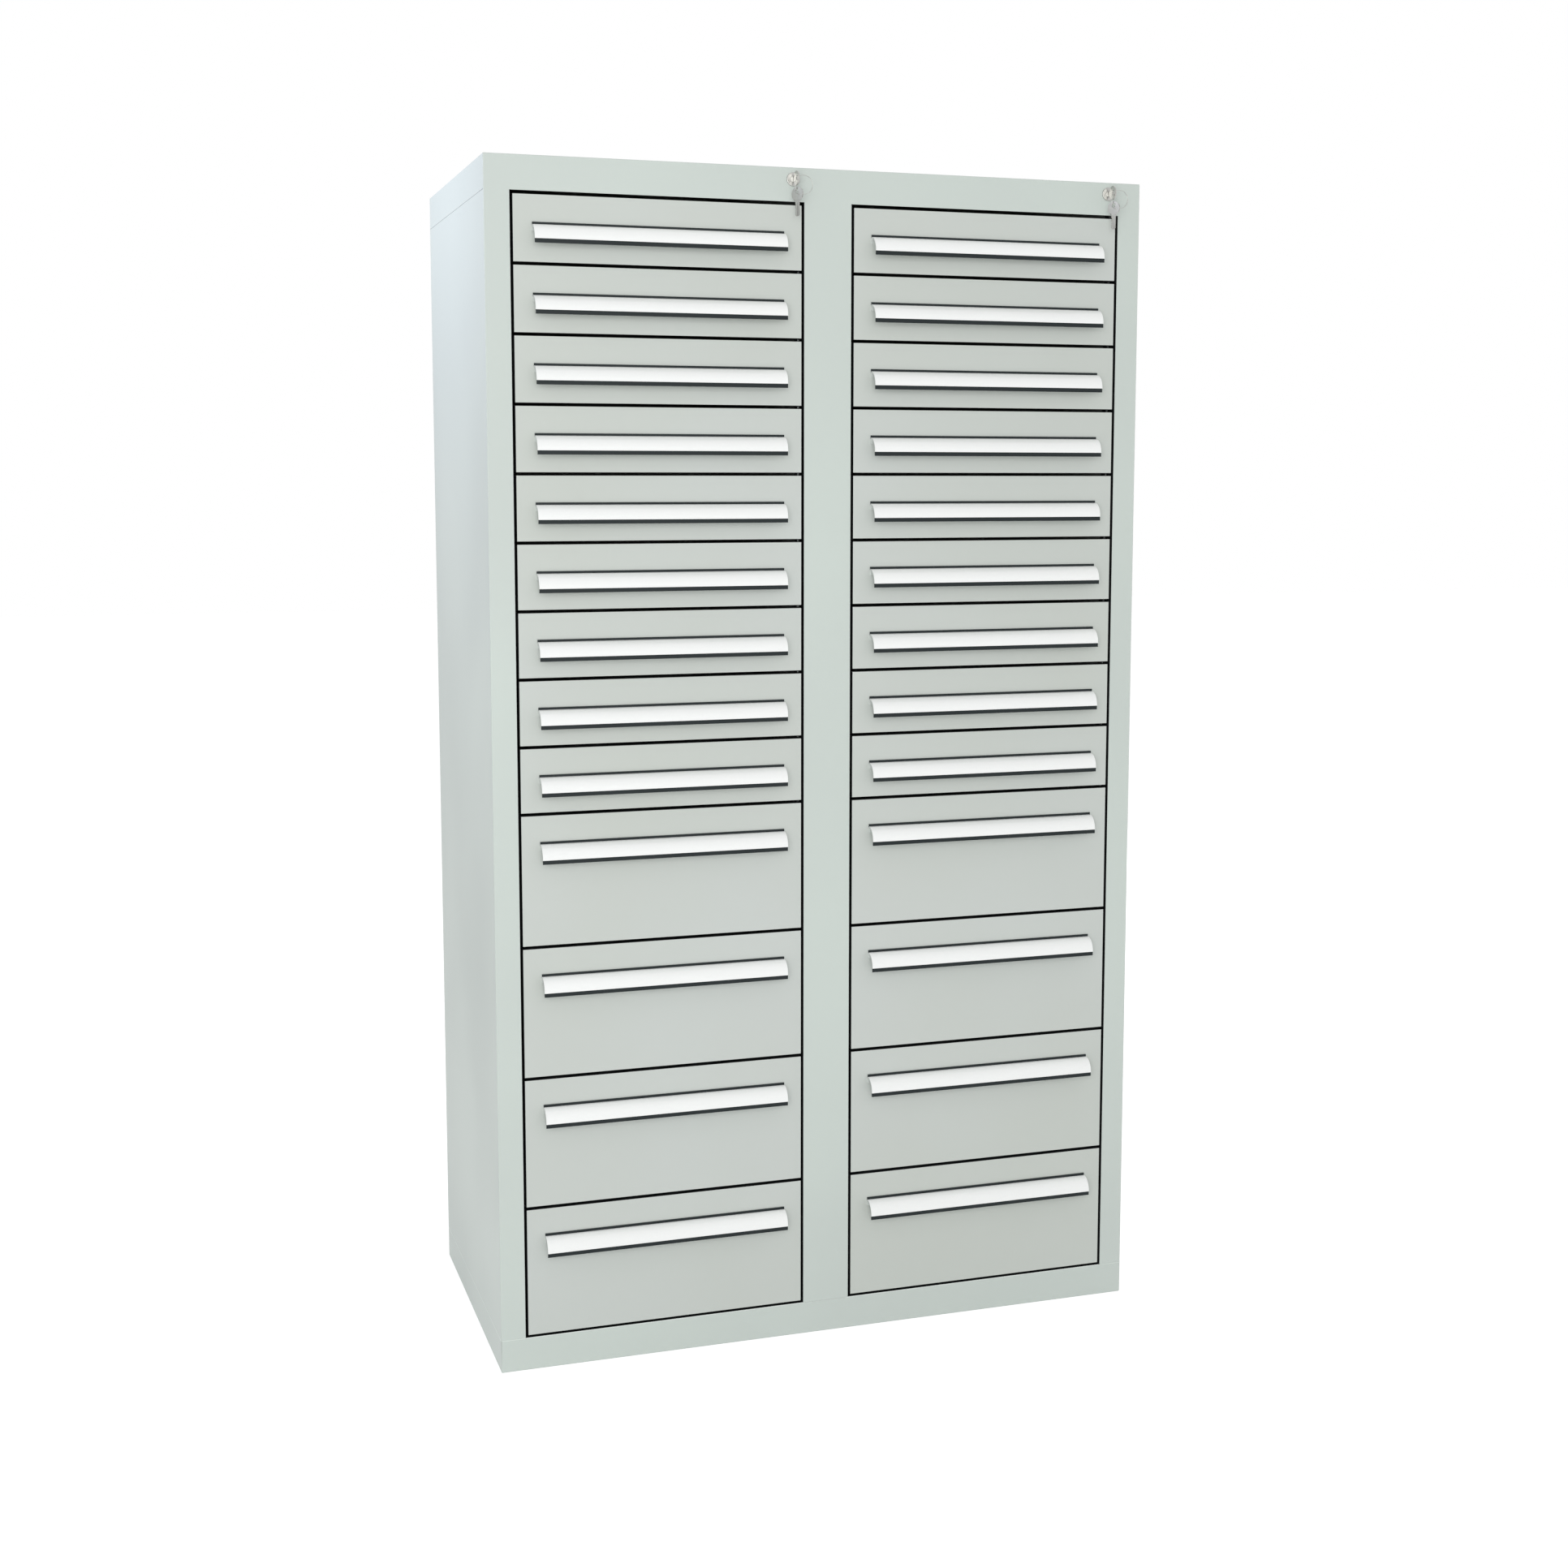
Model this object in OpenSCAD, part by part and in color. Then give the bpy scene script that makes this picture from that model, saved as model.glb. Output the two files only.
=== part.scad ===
// Steel parts cabinet: two columns (bays) of thirteen drawers, each column locked by its own cam lock.
// Millimetres. X runs to the right as seen from the front, Y to the back, Z up.
// The origin is on the floor, under the middle of the carcass. The front face lies at Y = front_y.

/* [Carcass] */
// Width over the side panels
cabinet_w = 1120; // [1000:10:1400]
// Depth from the front face to the back face
cabinet_d = 550; // [450:10:700]
// Height from the floor to the top
cabinet_h = 1950; // [1600:10:2400]
// Thickness of the carcass sheet
sheet = 1.2; // [1:0.1:1.6]
// Height of the top cap's band
cap_band = 54; // [50:1:80]
// Height of the base tray's band
base_band = 54.5; // [40:0.5:90]
// Width of the stile beside the outer edge of each bay
side_stile_w = 41; // [30:1:60]
// Width of the post between the bays
centre_post_w = 82; // [60:1:120]
// Depth of the folds behind the stiles and the post
stile_return = 25; // [23:1:35]
// Width of the flanges folded at the back of the side panels and the bay walls
back_flange = 15; // [8:1:20]

/* [Drawers] */
// Small drawers in each bay, of the thirteen; the others are as high as two small ones
small_rows = 9; // [0:1:13]
// Gap at each side of a drawer front
side_gap = 3.5; // [2:0.5:4.5]
// Gap between drawer fronts, and under the lowest
row_gap = 4; // [2:0.5:5]
// Gap over the top drawer fronts
top_gap = 5; // [3:0.5:8]
// Depth of the folded front pan
front_t = 18; // [15:1:18]
// Thickness of the drawer sheet
drawer_sheet = 1; // [0.8:0.1:1.2]
// Width of the folds that close the front pan at the back
pan_lip = 14; // [13:1:20]
// Free height above the tray in its row
tray_top_gap = 11; // [8:1:16]
// Free height below the tray in its row
tray_bottom_gap = 6; // [4:1:12]
// Free depth between the tray and the back panel
tray_back_gap = 38.8; // [20:0.1:60]
// Play between separate pieces that are fastened together, of a drawer or a lock bar
seam = 0.1; // [0.05:0.05:0.2]

/* [Handles] */
// Length of the grip profile
handle_len = 410; // [200:10:410]
// Height of the grip profile
handle_h = 33.5; // [28:0.5:45]
// Reach of the grip profile from the drawer front
handle_reach = 22; // [15:1:35]
// Wall of the grip profile
handle_wall = 2; // [1.5:0.1:3]
// Height of the upright rim over the label
rim_h = 4; // [2:0.5:5]
// Height of the lip under the label
lip_h = 6.5; // [4:0.5:9]
// Thickness of the label and its clear cover
label_t = 0.8; // [0.5:0.1:1.2]
// Height of the flange that fastens the grip to the front
handle_flange = 14; // [8:1:20]
// Distance from the top of a drawer front to its handle
handle_drop = 42.5; // [38:0.5:50]

/* [Runners] */
// Space between the tray and the bay wall
runner_gap = 13; // [12.5:0.5:16]
// Height of the channel on the bay wall
channel_h = 32; // [26:1:36]
// Depth of the channel from the bay wall
channel_reach = 9; // [7:0.5:10]
// Distance from the cabinet's front face to the channel
channel_setback = 45; // [42:1:60]
// Free depth behind the channel
channel_back_gap = 20; // [5:1:60]
// Height from the bottom of a drawer front to the middle of its runner
runner_rise = 34; // [28:1:40]
// Gap between the rail and the channel's flanges, where the glides sit
glide_space = 1.3; // [1:0.1:2]
// Clearance of a glide from the part that slides on it
glide_clear = 0.3; // [0.2:0.05:0.5]
// Length of each glide
glide_len = 20; // [10:1:40]
// Distance from the channel's front end to its drawer stop
stop_setback = 22.5; // [5:0.5:40]
// Clearance left at the drawer stop when the drawer is fully out
stop_clear = 1.3; // [0.5:0.1:3]

/* [Locks] */
// Distance from the right-hand edge of a bay to its lock
lock_inset = 18.5; // [16:0.5:24]
// Distance from the top of the cabinet to the locks
lock_drop = 19; // [18:0.5:22]
// Diameter of the lock's outer flange
lock_flange_d = 22; // [20:0.5:26]
// Thickness of the lock's outer flange
lock_flange_t = 2.5; // [1.5:0.5:4]
// Diameter of the lock's barrel
lock_barrel_d = 16; // [14:0.5:18]
// Length of the barrel behind the front face
lock_barrel_len = 20; // [15:0.5:20]
// Diameter of the turning plug
plug_d = 11; // [10:0.5:12]
// Clearance round the turning plug, on the radius
plug_clear = 0.2; // [0.1:0.05:0.4]
// Clearance round the barrel in the band's hole, on the radius
barrel_clear = 0.2; // [0.1:0.05:0.5]
// Thickness of the lock nut
nut_t = 4; // [3:0.5:6]
// Distance from the plug's axis to the cam's pin
cam_pin_r = 8.5; // [7:0.5:9]
// Diameter of the cam's pin
cam_pin_d = 4; // [3:0.5:5]
// Thickness of the cam
cam_t = 2; // [1.5:0.5:3]
// Clearance round the pin in the lock bar's slot
pin_clear = 0.6; // [0.5:0.1:1]

/* [Lock bars] */
// Width of a lock bar along the depth of the cabinet
bar_w = 14; // [10:1:14]
// Thickness of a lock bar
bar_t = 2; // [1.5:0.5:2]
// Clearance between a lock bar and the bay wall
bar_wall_gap = 0.4; // [0.3:0.1:0.8]
// Clearance between the drawer front pans and the lock bar
bar_front_gap = 9; // [9:0.5:12]
// Distance from the top of a drawer front to its tab on the bar
tab_drop = 36; // [32:1:40]
// Height of a tab
tab_h = 6; // [4:0.5:8]
// Reach of a tab from the bay wall
tab_reach = 9.5; // [8:0.5:10]
// Clearance of a drawer's catch from its tab, in height and in depth, and from the guide above it
catch_clear = 1.5; // [1:0.1:2]
// Clearance between a tab and the runner below it
tab_runner_clear = 3; // [2:0.5:6]
// Length of a bar guide along the bar
guide_h = 10; // [6:1:12]
// Clearance between a lock bar and its guides
guide_clear = 0.4; // [0.3:0.1:0.8]

/* [Keys] */
// Thickness of a key
key_t = 1.8; // [1.5:0.1:2]
// Diameter of the key's bow
bow_d = 23; // [20:0.5:26]
// Distance from the lock's face to the bow
bow_gap = 3; // [2:0.5:8]
// Diameter of the hole in the bow
bow_hole_d = 7.5; // [7:0.5:8]
// Distance from the bow's centre to its hole
bow_hole_offset = 4.5; // [3:0.5:6]
// Width of the key's blade
blade_w = 7.6; // [6:0.1:8]
// Length of the key's blade
blade_len = 23; // [18:0.5:23]
// Clearance between the blade and the keyway
keyway_clear = 0.2; // [0.1:0.05:0.3]
// Radius of the key ring to the middle of its wire
ring_r = 15; // [13:0.5:20]
// Diameter of the key ring's wire
ring_wire_d = 1.3; // [1:0.1:1.5]
// Angle by which the spare key is turned from the key in the lock
spare_turn = 30; // [20:1:40]

/* [Hidden] */
$fn = 48;
ROWS = 13;
CUT = 1;               // how far a cut runs past the face it opens
FRONT_GLIDE_X = [2.5, 8.5];   // a front glide's sides, from the bay wall
REAR_GLIDE_X = [4, 9];        // a rear glide's sides, and those of the stop it meets
RAIL_WALL_GAP = 3.4;   // free space between a drawer's rail and the bay wall, where the lock bar runs
TAB_T = 3;             // thickness of a tab
CATCH_LIP = 1.5;       // thickness of the catch's lip
CATCH_LEN = 20;        // length of the catch's foot along the tray
GUIDE_ROWS = [0, 6, 12];
BAR_END = 10;          // how far a bar runs on below its lowest tab
YOKE_H = 14;           // height of the plate in which the cam's pin runs
YOKE_T = 2;            // its thickness
YOKE_EDGE = 3;         // metal beside the yoke's slot
CAM_TURN = 90;         // turn of the key from unlocked to locked
CAM_EDGE = 1;          // metal round the cam's pin and its boss
PIN_PROUD = 1.5;       // how far the pin runs past the yoke
SCREW_D = 7;           // head of the screw that holds the cam
SCREW_T = 1.5;
PLUG_PROUD = 0.7;      // how far the plug stands out of the lock's flange
PLUG_TAIL = 1;         // how far it runs on behind the barrel
KEY_COLLAR = 3;        // length of the blade's root inside the bow
KEY_TIP = 2;           // length of the blade's narrow tip, and its step on each edge
PROFILE_STEPS = 9;     // facets round the grip's face
LABEL_START = 2;       // angle at which the label begins below the rim

front_y = -cabinet_d / 2;
back_y = cabinet_d / 2;
half_w = cabinet_w / 2;
open_top = cabinet_h - cap_band;
open_bottom = base_band;
bay_w = half_w - side_stile_w - centre_post_w / 2;
left_edges = [-half_w + side_stile_w, centre_post_w / 2];   // left edge of each bay
large_rows = ROWS - small_rows;

// Fronts share the bay's height: a large front is two small ones and the gap between them.
front_w = bay_w - 2 * side_gap;
small_h = (open_top - open_bottom - top_gap - row_gap * (ROWS + large_rows)) / (ROWS + large_rows);
large_h = 2 * small_h + row_gap;
function front_h(row) = row < small_rows ? small_h : large_h;
function front_top(row) = row == 0 ? open_top - top_gap : front_bottom(row - 1) - row_gap;
function front_bottom(row) = front_top(row) - front_h(row);

// Middle of the lock bar's tab beside a drawer, and of the drawer's runner, which stays clear below it.
function tab_z(row) = front_top(row) - tab_drop;
function runner_z(row) = min(
    front_bottom(row) + runner_rise,
    tab_z(row) - tab_h / 2 - tab_runner_clear - channel_h / 2);

tray_w = bay_w - 2 * runner_gap;
tray_y0 = front_y + front_t + seam;
tray_y1 = back_y - sheet - tray_back_gap;

channel_y0 = front_y + channel_setback;
channel_y1 = back_y - sheet - channel_back_gap;
rail_h = channel_h - 2 * sheet - 2 * glide_space;
rail_y0 = tray_y0 + drawer_sheet;
stop_y = channel_y0 + stop_setback;
// The rear glide meets the stop, less the clearance there.
drawer_travel = tray_y1 - glide_len - (stop_y + sheet) - stop_clear;

lock_z = cabinet_h - lock_drop;
plug_y0 = front_y - lock_flange_t - PLUG_PROUD;
plug_y1 = front_y + lock_barrel_len + PLUG_TAIL;
cam_y1 = plug_y1 + cam_t;
bar_lift = 2 * cam_pin_r * sin(CAM_TURN / 2);
bar_y0 = tray_y0 + bar_front_gap;
bar_y1 = bar_y0 + bar_w;
tab_y0 = (bar_y0 + bar_y1) / 2 - TAB_T / 2;
tab_y1 = tab_y0 + TAB_T;
catch_y0 = tab_y1 + catch_clear;
// Heights between which a drawer's catch stands.
function catch_bottom(row) = tab_z(row) + tab_h / 2 + catch_clear;
function catch_top(row) = catch_bottom(row) + bar_lift;

bow_y = plug_y0 - bow_gap - bow_d / 2;
link_y = bow_y - bow_hole_offset;              // where the ring passes through the key
ring_drop = ring_r * sqrt(2);                  // from the key in the lock down to the spare key

function lock_x(bay) = left_edges[bay] + bay_w - lock_inset;
// Side 0 is the left wall of a bay, side 1 the right.
function wall_x(bay, side) = left_edges[bay] + side * bay_w;

echo(drawer_travel = drawer_travel, bar_lift = bar_lift);

// A box between two corners.
module block(low, high) {
    translate(low) cube(high - low);
}

// An outline in X and Z, drawn out along Y from y0 to y1.
module along_y(y0, y1) {
    translate([0, y1, 0]) rotate([90, 0, 0]) linear_extrude(y1 - y0) children();
}

// A flat rectangle between two corners.
module rect(low, high) {
    translate(low) square(high - low);
}

// A cylinder along Y from y0 to y1 round the axis through x, z.
module rod_y(x, z, d, y0, y1) {
    translate([x, y1, z]) rotate([90, 0, 0]) cylinder(d = d, h = y1 - y0);
}

// The hole that a lock's barrel passes through.
module barrel_hole(bay, y0, y1) {
    rod_y(lock_x(bay), lock_z, lock_barrel_d + 2 * barrel_clear, y0, y1);
}

// ---- Carcass ----

module top_cap() {
    color("#CFD6D1") difference() {
        block([-half_w, front_y, open_top], [half_w, back_y, cabinet_h]);
        block([-half_w + sheet, front_y + sheet, open_top - CUT],
            [half_w - sheet, back_y - sheet, cabinet_h - sheet]);
        for (bay = [0, 1])
            barrel_hole(bay, front_y - CUT, front_y + sheet + CUT);
    }
}

// The bottom sheet and the four strips of the plinth that are welded on it.
module base_tray() {
    color("#CFD6D1") {
        block([-half_w, front_y, 0], [half_w, back_y, sheet]);
        for (y = [front_y, back_y - sheet])
            block([-half_w, y, sheet + seam], [half_w, y + sheet, open_bottom]);
        for (x = [-half_w, half_w - sheet])
            block([x, front_y + sheet + seam, sheet + seam],
                [x + sheet, back_y - sheet - seam, open_bottom]);
    }
}

module bottom_deck() {
    color("#C4CBC7") block(
        [-half_w + sheet, front_y + sheet, open_bottom - sheet],
        [half_w - sheet, back_y - sheet, open_bottom]);
}

// The side sheet between its back flange and its stile, and the return behind the stile.
module side_panel() {
    stile_end = -half_w + side_stile_w;
    color("#CDD5D3") translate([0, 0, open_bottom]) linear_extrude(open_top - open_bottom) {
        rect([-half_w, front_y + sheet + seam], [-half_w + sheet, back_y - 2 * sheet - seam]);
        rect([-half_w, back_y - 2 * sheet], [-half_w + back_flange, back_y - sheet]);
        rect([-half_w, front_y], [stile_end, front_y + sheet]);
        rect([stile_end - sheet, front_y + sheet + seam], [stile_end, front_y + stile_return]);
    }
}

// The post's front strip and the two returns behind it.
module centre_post() {
    color("#CFD6D1") translate([0, 0, open_bottom]) linear_extrude(open_top - open_bottom) {
        rect([-centre_post_w / 2, front_y], [centre_post_w / 2, front_y + sheet]);
        for (x = [-centre_post_w / 2, centre_post_w / 2 - sheet])
            rect([x, front_y + sheet + seam], [x + sheet, front_y + stile_return]);
    }
}

module back_panel() {
    color("#C4CBC7") block([-half_w, back_y - sheet, open_bottom], [half_w, back_y, open_top]);
}

// The wall that carries the runners, with a flange against the back panel.
module bay_wall(bay, side) {
    color("#B9C0BD") translate([wall_x(bay, side), 0, open_bottom])
        mirror([1 - side, 0, 0])
            linear_extrude(cabinet_h - sheet - open_bottom) {
                rect([0, front_y + stile_return], [sheet, back_y - sheet]);
                rect([0, back_y - 2 * sheet], [back_flange, back_y - sheet]);
            }
}

// ---- Runners ----

// Outlines across a runner: X is the distance from the bay wall, Z the height over the runner's middle.
module channel_outline() {
    rect([0, -channel_h / 2], [sheet, channel_h / 2]);
    for (z = [-channel_h / 2, channel_h / 2 - sheet])
        rect([0, z], [channel_reach, z + sheet]);
}

module rail_outline() {
    rail_back = runner_gap - seam;
    rect([rail_back - sheet, -rail_h / 2], [rail_back, rail_h / 2]);
    for (z = [-rail_h / 2, rail_h / 2 - sheet])
        rect([RAIL_WALL_GAP, z], [rail_back, z + sheet]);
}

// Places what is drawn from the bay wall inwards.
module at_runner(bay, side, row) {
    translate([wall_x(bay, side), 0, runner_z(row)])
        mirror([side, 0, 0])
            children();
}

// The channels of one bay wall, each with a stop folded down from its upper flange.
module runners(bay, side) {
    color("#A9AEB0") for (row = [0:ROWS - 1])
        at_runner(bay, side, row) {
            along_y(channel_y0, channel_y1) channel_outline();
            along_y(stop_y, stop_y + sheet)
                rect([REAR_GLIDE_X[0], channel_h / 2 - sheet - glide_space + glide_clear],
                     [REAR_GLIDE_X[1], channel_h / 2 - sheet]);
        }
}

// The glide at the front of each channel, under the rail.
module runner_glides() {
    color("#F2F2EE") for (bay = [0, 1], side = [0, 1], row = [0:ROWS - 1])
        at_runner(bay, side, row)
            along_y(channel_y0, channel_y0 + glide_len)
                rect([FRONT_GLIDE_X[0], -channel_h / 2 + sheet],
                     [FRONT_GLIDE_X[1], -rail_h / 2 - glide_clear]);
}

// ---- Drawers ----

// The front: a sheet folded back all round, and in again behind.
module front_pan(z0, z1) {
    x1 = front_w / 2;
    pan_y1 = front_y + front_t;
    difference() {
        block([-x1, front_y, z0], [x1, pan_y1, z1]);
        block([-x1 + sheet, front_y + sheet, z0 + sheet], [x1 - sheet, pan_y1 - sheet, z1 - sheet]);
        block([-x1 + pan_lip, front_y + sheet, z0 + pan_lip], [x1 - pan_lip, pan_y1 + CUT, z1 - pan_lip]);
    }
}

module tray(z0, z1) {
    x1 = tray_w / 2;
    difference() {
        block([-x1, tray_y0, z0], [x1, tray_y1, z1]);
        block([-x1 + drawer_sheet, tray_y0 + drawer_sheet, z0 + drawer_sheet],
              [x1 - drawer_sheet, tray_y1 - drawer_sheet, z1 + CUT]);
    }
}

// The grip's upright rim, then its convex face, a quarter of an ellipse, and the lip.
face_h = handle_h - rim_h - lip_h;
function face_points(start, inset) = [for (i = [0:PROFILE_STEPS])
    let (a = start + (90 - start) * i / PROFILE_STEPS)
        [-handle_wall - (handle_reach - handle_wall - inset) * sin(a),
         -rim_h - face_h + (face_h - inset) * cos(a)]];
function reversed(list) = [for (i = [len(list) - 1:-1:0]) list[i]];

// The grip's outline across its length: X is the distance from the drawer front (negative is outwards).
module grip_outline() {
    polygon(concat(
        [[0, 0], [-handle_wall, 0]],
        face_points(0, 0),
        [[-handle_reach, -handle_h], [-handle_reach + handle_wall, -handle_h]],
        reversed(face_points(0, handle_wall)),
        [[-handle_wall, -handle_flange], [0, -handle_flange]]));
}

// The label lies on the convex face, between the rim and the lip.
module label_outline() {
    polygon(concat(
        face_points(LABEL_START, -seam - label_t),
        reversed(face_points(LABEL_START, -seam))));
}

// Draws an outline given across the handle out along X.
module along_handle(top_z) {
    translate([-handle_len / 2, front_y - seam, top_z])
        rotate([90, 0, 90])
            linear_extrude(handle_len)
                children();
}

// The bracket on the right-hand side of the tray that the lock bar's tab blocks.
module catch(row) {
    x1 = bay_w / 2;
    x0 = x1 - runner_gap + seam;
    for (size = [[sheet, CATCH_LEN], [x1 - RAIL_WALL_GAP - x0, CATCH_LIP]])
        block([x0, catch_y0, catch_bottom(row)],
              [x0 + size[0], catch_y0 + size[1], catch_top(row)]);
}

module drawer(bay, row) {
    z0 = front_bottom(row);
    z1 = front_top(row);
    translate([left_edges[bay] + bay_w / 2, 0, 0]) {
        color("#CBCFCB") {
            front_pan(z0, z1);
            tray(z0 + tray_bottom_gap, z1 - tray_top_gap);
        }
        color("#2F3C3E") along_handle(z1 - handle_drop) grip_outline();
        color("#F4F4F2") along_handle(z1 - handle_drop) label_outline();
        color("#A9AEB0") catch(row);
    }
    for (side = [0, 1])
        at_runner(bay, side, row) {
            color("#A9AEB0") along_y(rail_y0, tray_y1) rail_outline();
            color("#F2F2EE") along_y(tray_y1 - glide_len, tray_y1)
                rect([REAR_GLIDE_X[0], rail_h / 2 + seam],
                     [REAR_GLIDE_X[1], channel_h / 2 - sheet - glide_clear]);
        }
}

// ---- Locks ----

module lock_housing(bay) {
    x = lock_x(bay);
    flange_y0 = front_y - lock_flange_t;
    barrel_y1 = front_y + lock_barrel_len;
    color("#C9CCCE") difference() {
        union() {
            rod_y(x, lock_z, lock_flange_d, flange_y0, front_y);
            rod_y(x, lock_z, lock_barrel_d, flange_y0, barrel_y1);
        }
        rod_y(x, lock_z, plug_d + 2 * plug_clear, flange_y0 - CUT, barrel_y1 + CUT);
    }
}

// The nut behind the band that holds each lock.
module lock_nuts() {
    color("#A9AEB0") for (bay = [0, 1])
        difference() {
            translate([lock_x(bay), front_y + sheet + nut_t, lock_z]) rotate([90, 0, 0])
                cylinder(d = lock_flange_d, h = nut_t, $fn = 6);
            barrel_hole(bay, front_y, front_y + sheet + nut_t + CUT);
        }
}

// The turning plug, with an upright keyway.
module lock_plug(bay) {
    slot_t = key_t / 2 + keyway_clear;
    slot_w = blade_w / 2 + keyway_clear;
    color("#B4B8BA") difference() {
        rod_y(lock_x(bay), lock_z, plug_d, plug_y0, plug_y1);
        block([lock_x(bay) - slot_t, plug_y0 - CUT, lock_z - slot_w],
              [lock_x(bay) + slot_t, plug_y0 + blade_len - bow_gap + keyway_clear, lock_z + slot_w]);
    }
}

// The cam on the back of the plug. Its pin points down to the right when unlocked.
module lock_cam(bay) {
    arm = cam_pin_d / 2 + CAM_EDGE;
    color("#A9AEB0") translate([lock_x(bay), 0, lock_z]) rotate([0, CAM_TURN / 2, 0]) {
        rod_y(0, 0, plug_d + 2 * CAM_EDGE, plug_y1, cam_y1);
        block([0, plug_y1, -arm], [cam_pin_r + arm, cam_y1, arm]);
        rod_y(cam_pin_r, 0, cam_pin_d, plug_y1, bar_y0 + YOKE_T + PIN_PROUD);
        rod_y(0, 0, SCREW_D, plug_y1, cam_y1 + SCREW_T);
    }
}

// A key in its own frame: the bow's centre at the origin, the blade towards +Y, flat in Y and Z.
module key_shape() {
    tip_y = bow_d / 2 + blade_len;
    difference() {
        union() {
            rotate([0, 90, 0]) cylinder(d = bow_d, h = key_t, center = true);
            block([-key_t / 2, bow_d / 2 - KEY_COLLAR, -blade_w / 2],
                  [key_t / 2, tip_y - KEY_TIP, blade_w / 2]);
            block([-key_t / 2, 0, KEY_TIP - blade_w / 2],
                  [key_t / 2, tip_y, blade_w / 2 - KEY_TIP]);
        }
        translate([0, -bow_hole_offset, 0]) rotate([0, 90, 0])
            cylinder(d = bow_hole_d, h = key_t + 2 * CUT, center = true);
    }
}

module key(bay) {
    color("#C2C6C8") translate([lock_x(bay), bow_y, lock_z]) key_shape();
}

// The ring hangs from the key's hole on its upper left, so that the key can turn inside it.
module key_ring(bay) {
    color("#C2C6C8") translate([lock_x(bay) + ring_drop / 2, link_y, lock_z - ring_drop / 2])
        rotate([90, 0, 0]) rotate_extrude()
            translate([ring_r, 0]) circle(d = ring_wire_d, $fn = 24);
}

// The spare key hangs from the ring's lower left, turned a little to the front.
module spare_key(bay) {
    color("#C2C6C8") translate([lock_x(bay), link_y, lock_z - ring_drop])
        rotate([-90, 0, spare_turn]) translate([0, bow_hole_offset, 0]) key_shape();
}

// ---- Lock bars ----

// One strip per bay, with a slotted yoke at the top for the cam's pin.
// X is measured from the right-hand wall of the bay, negative into the bay.
module lock_bar(bay) {
    pin_x = -lock_inset + cam_pin_r * cos(CAM_TURN / 2);
    pin_z = lock_z - bar_lift / 2;
    slot_x0 = pin_x - cam_pin_d / 2 - pin_clear;
    slot_x1 = -lock_inset + cam_pin_r + cam_pin_d / 2 + pin_clear;
    bottom_z = tab_z(ROWS - 1) - tab_h / 2 - BAR_END;
    color("#A9AEB0") translate([wall_x(bay, 1), 0, 0]) {
        block([-bar_wall_gap - bar_t, bar_y0, bottom_z], [-bar_wall_gap, bar_y1, pin_z + YOKE_H / 2]);
        difference() {
            block([slot_x0 - YOKE_EDGE, bar_y0, pin_z - YOKE_H / 2],
                  [-bar_wall_gap, bar_y0 + YOKE_T, pin_z + YOKE_H / 2]);
            block([slot_x0, bar_y0 - CUT, pin_z - cam_pin_d / 2 - pin_clear],
                  [slot_x1, bar_y0 + YOKE_T + CUT, pin_z + cam_pin_d / 2 + pin_clear]);
        }
    }
}

// The tabs riveted to one lock bar, one for each drawer.
module lock_bar_tabs(bay) {
    color("#A9AEB0") translate([wall_x(bay, 1), 0, 0])
        for (row = [0:ROWS - 1])
            block([-tab_reach, tab_y0, tab_z(row) - tab_h / 2],
                  [-bar_wall_gap - bar_t - seam, tab_y1, tab_z(row) + tab_h / 2]);
}

// Staples on the bay walls round the lock bars, each above a drawer's catch.
module lock_bar_guides() {
    x_in = -bar_wall_gap - bar_t - guide_clear;
    color("#A9AEB0") for (bay = [0, 1], row = GUIDE_ROWS) {
        z0 = catch_top(row) + catch_clear;
        translate([wall_x(bay, 1), 0, 0])
            difference() {
                block([x_in - sheet, bar_y0 - guide_clear - sheet, z0],
                      [0, bar_y1 + guide_clear + sheet, z0 + guide_h]);
                block([x_in, bar_y0 - guide_clear, z0 - CUT],
                      [CUT, bar_y1 + guide_clear, z0 + guide_h + CUT]);
            }
    }
}

top_cap();
base_tray();
bottom_deck();
side_panel();  // side_panel_left
mirror([1, 0, 0]) side_panel();  // side_panel_right
back_panel();
centre_post();
bay_wall(0, 0);  // bay_wall_left_outer
bay_wall(0, 1);  // bay_wall_left_inner
bay_wall(1, 0);  // bay_wall_right_inner
bay_wall(1, 1);  // bay_wall_right_outer
runners(0, 0);  // runners_left_outer
runners(0, 1);  // runners_left_inner
runners(1, 0);  // runners_right_inner
runners(1, 1);  // runners_right_outer
runner_glides();
drawer(0, 0);  // drawer_left_01
drawer(0, 1);  // drawer_left_02
drawer(0, 2);  // drawer_left_03
drawer(0, 3);  // drawer_left_04
drawer(0, 4);  // drawer_left_05
drawer(0, 5);  // drawer_left_06
drawer(0, 6);  // drawer_left_07
drawer(0, 7);  // drawer_left_08
drawer(0, 8);  // drawer_left_09
drawer(0, 9);  // drawer_left_10
drawer(0, 10);  // drawer_left_11
drawer(0, 11);  // drawer_left_12
drawer(0, 12);  // drawer_left_13
drawer(1, 0);  // drawer_right_01
drawer(1, 1);  // drawer_right_02
drawer(1, 2);  // drawer_right_03
drawer(1, 3);  // drawer_right_04
drawer(1, 4);  // drawer_right_05
drawer(1, 5);  // drawer_right_06
drawer(1, 6);  // drawer_right_07
drawer(1, 7);  // drawer_right_08
drawer(1, 8);  // drawer_right_09
drawer(1, 9);  // drawer_right_10
drawer(1, 10);  // drawer_right_11
drawer(1, 11);  // drawer_right_12
drawer(1, 12);  // drawer_right_13
lock_housing(0);  // lock_housing_left
lock_housing(1);  // lock_housing_right
lock_nuts();
lock_plug(0);  // lock_plug_left
lock_plug(1);  // lock_plug_right
lock_cam(0);  // lock_cam_left
lock_cam(1);  // lock_cam_right
key(0);  // key_left
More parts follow.
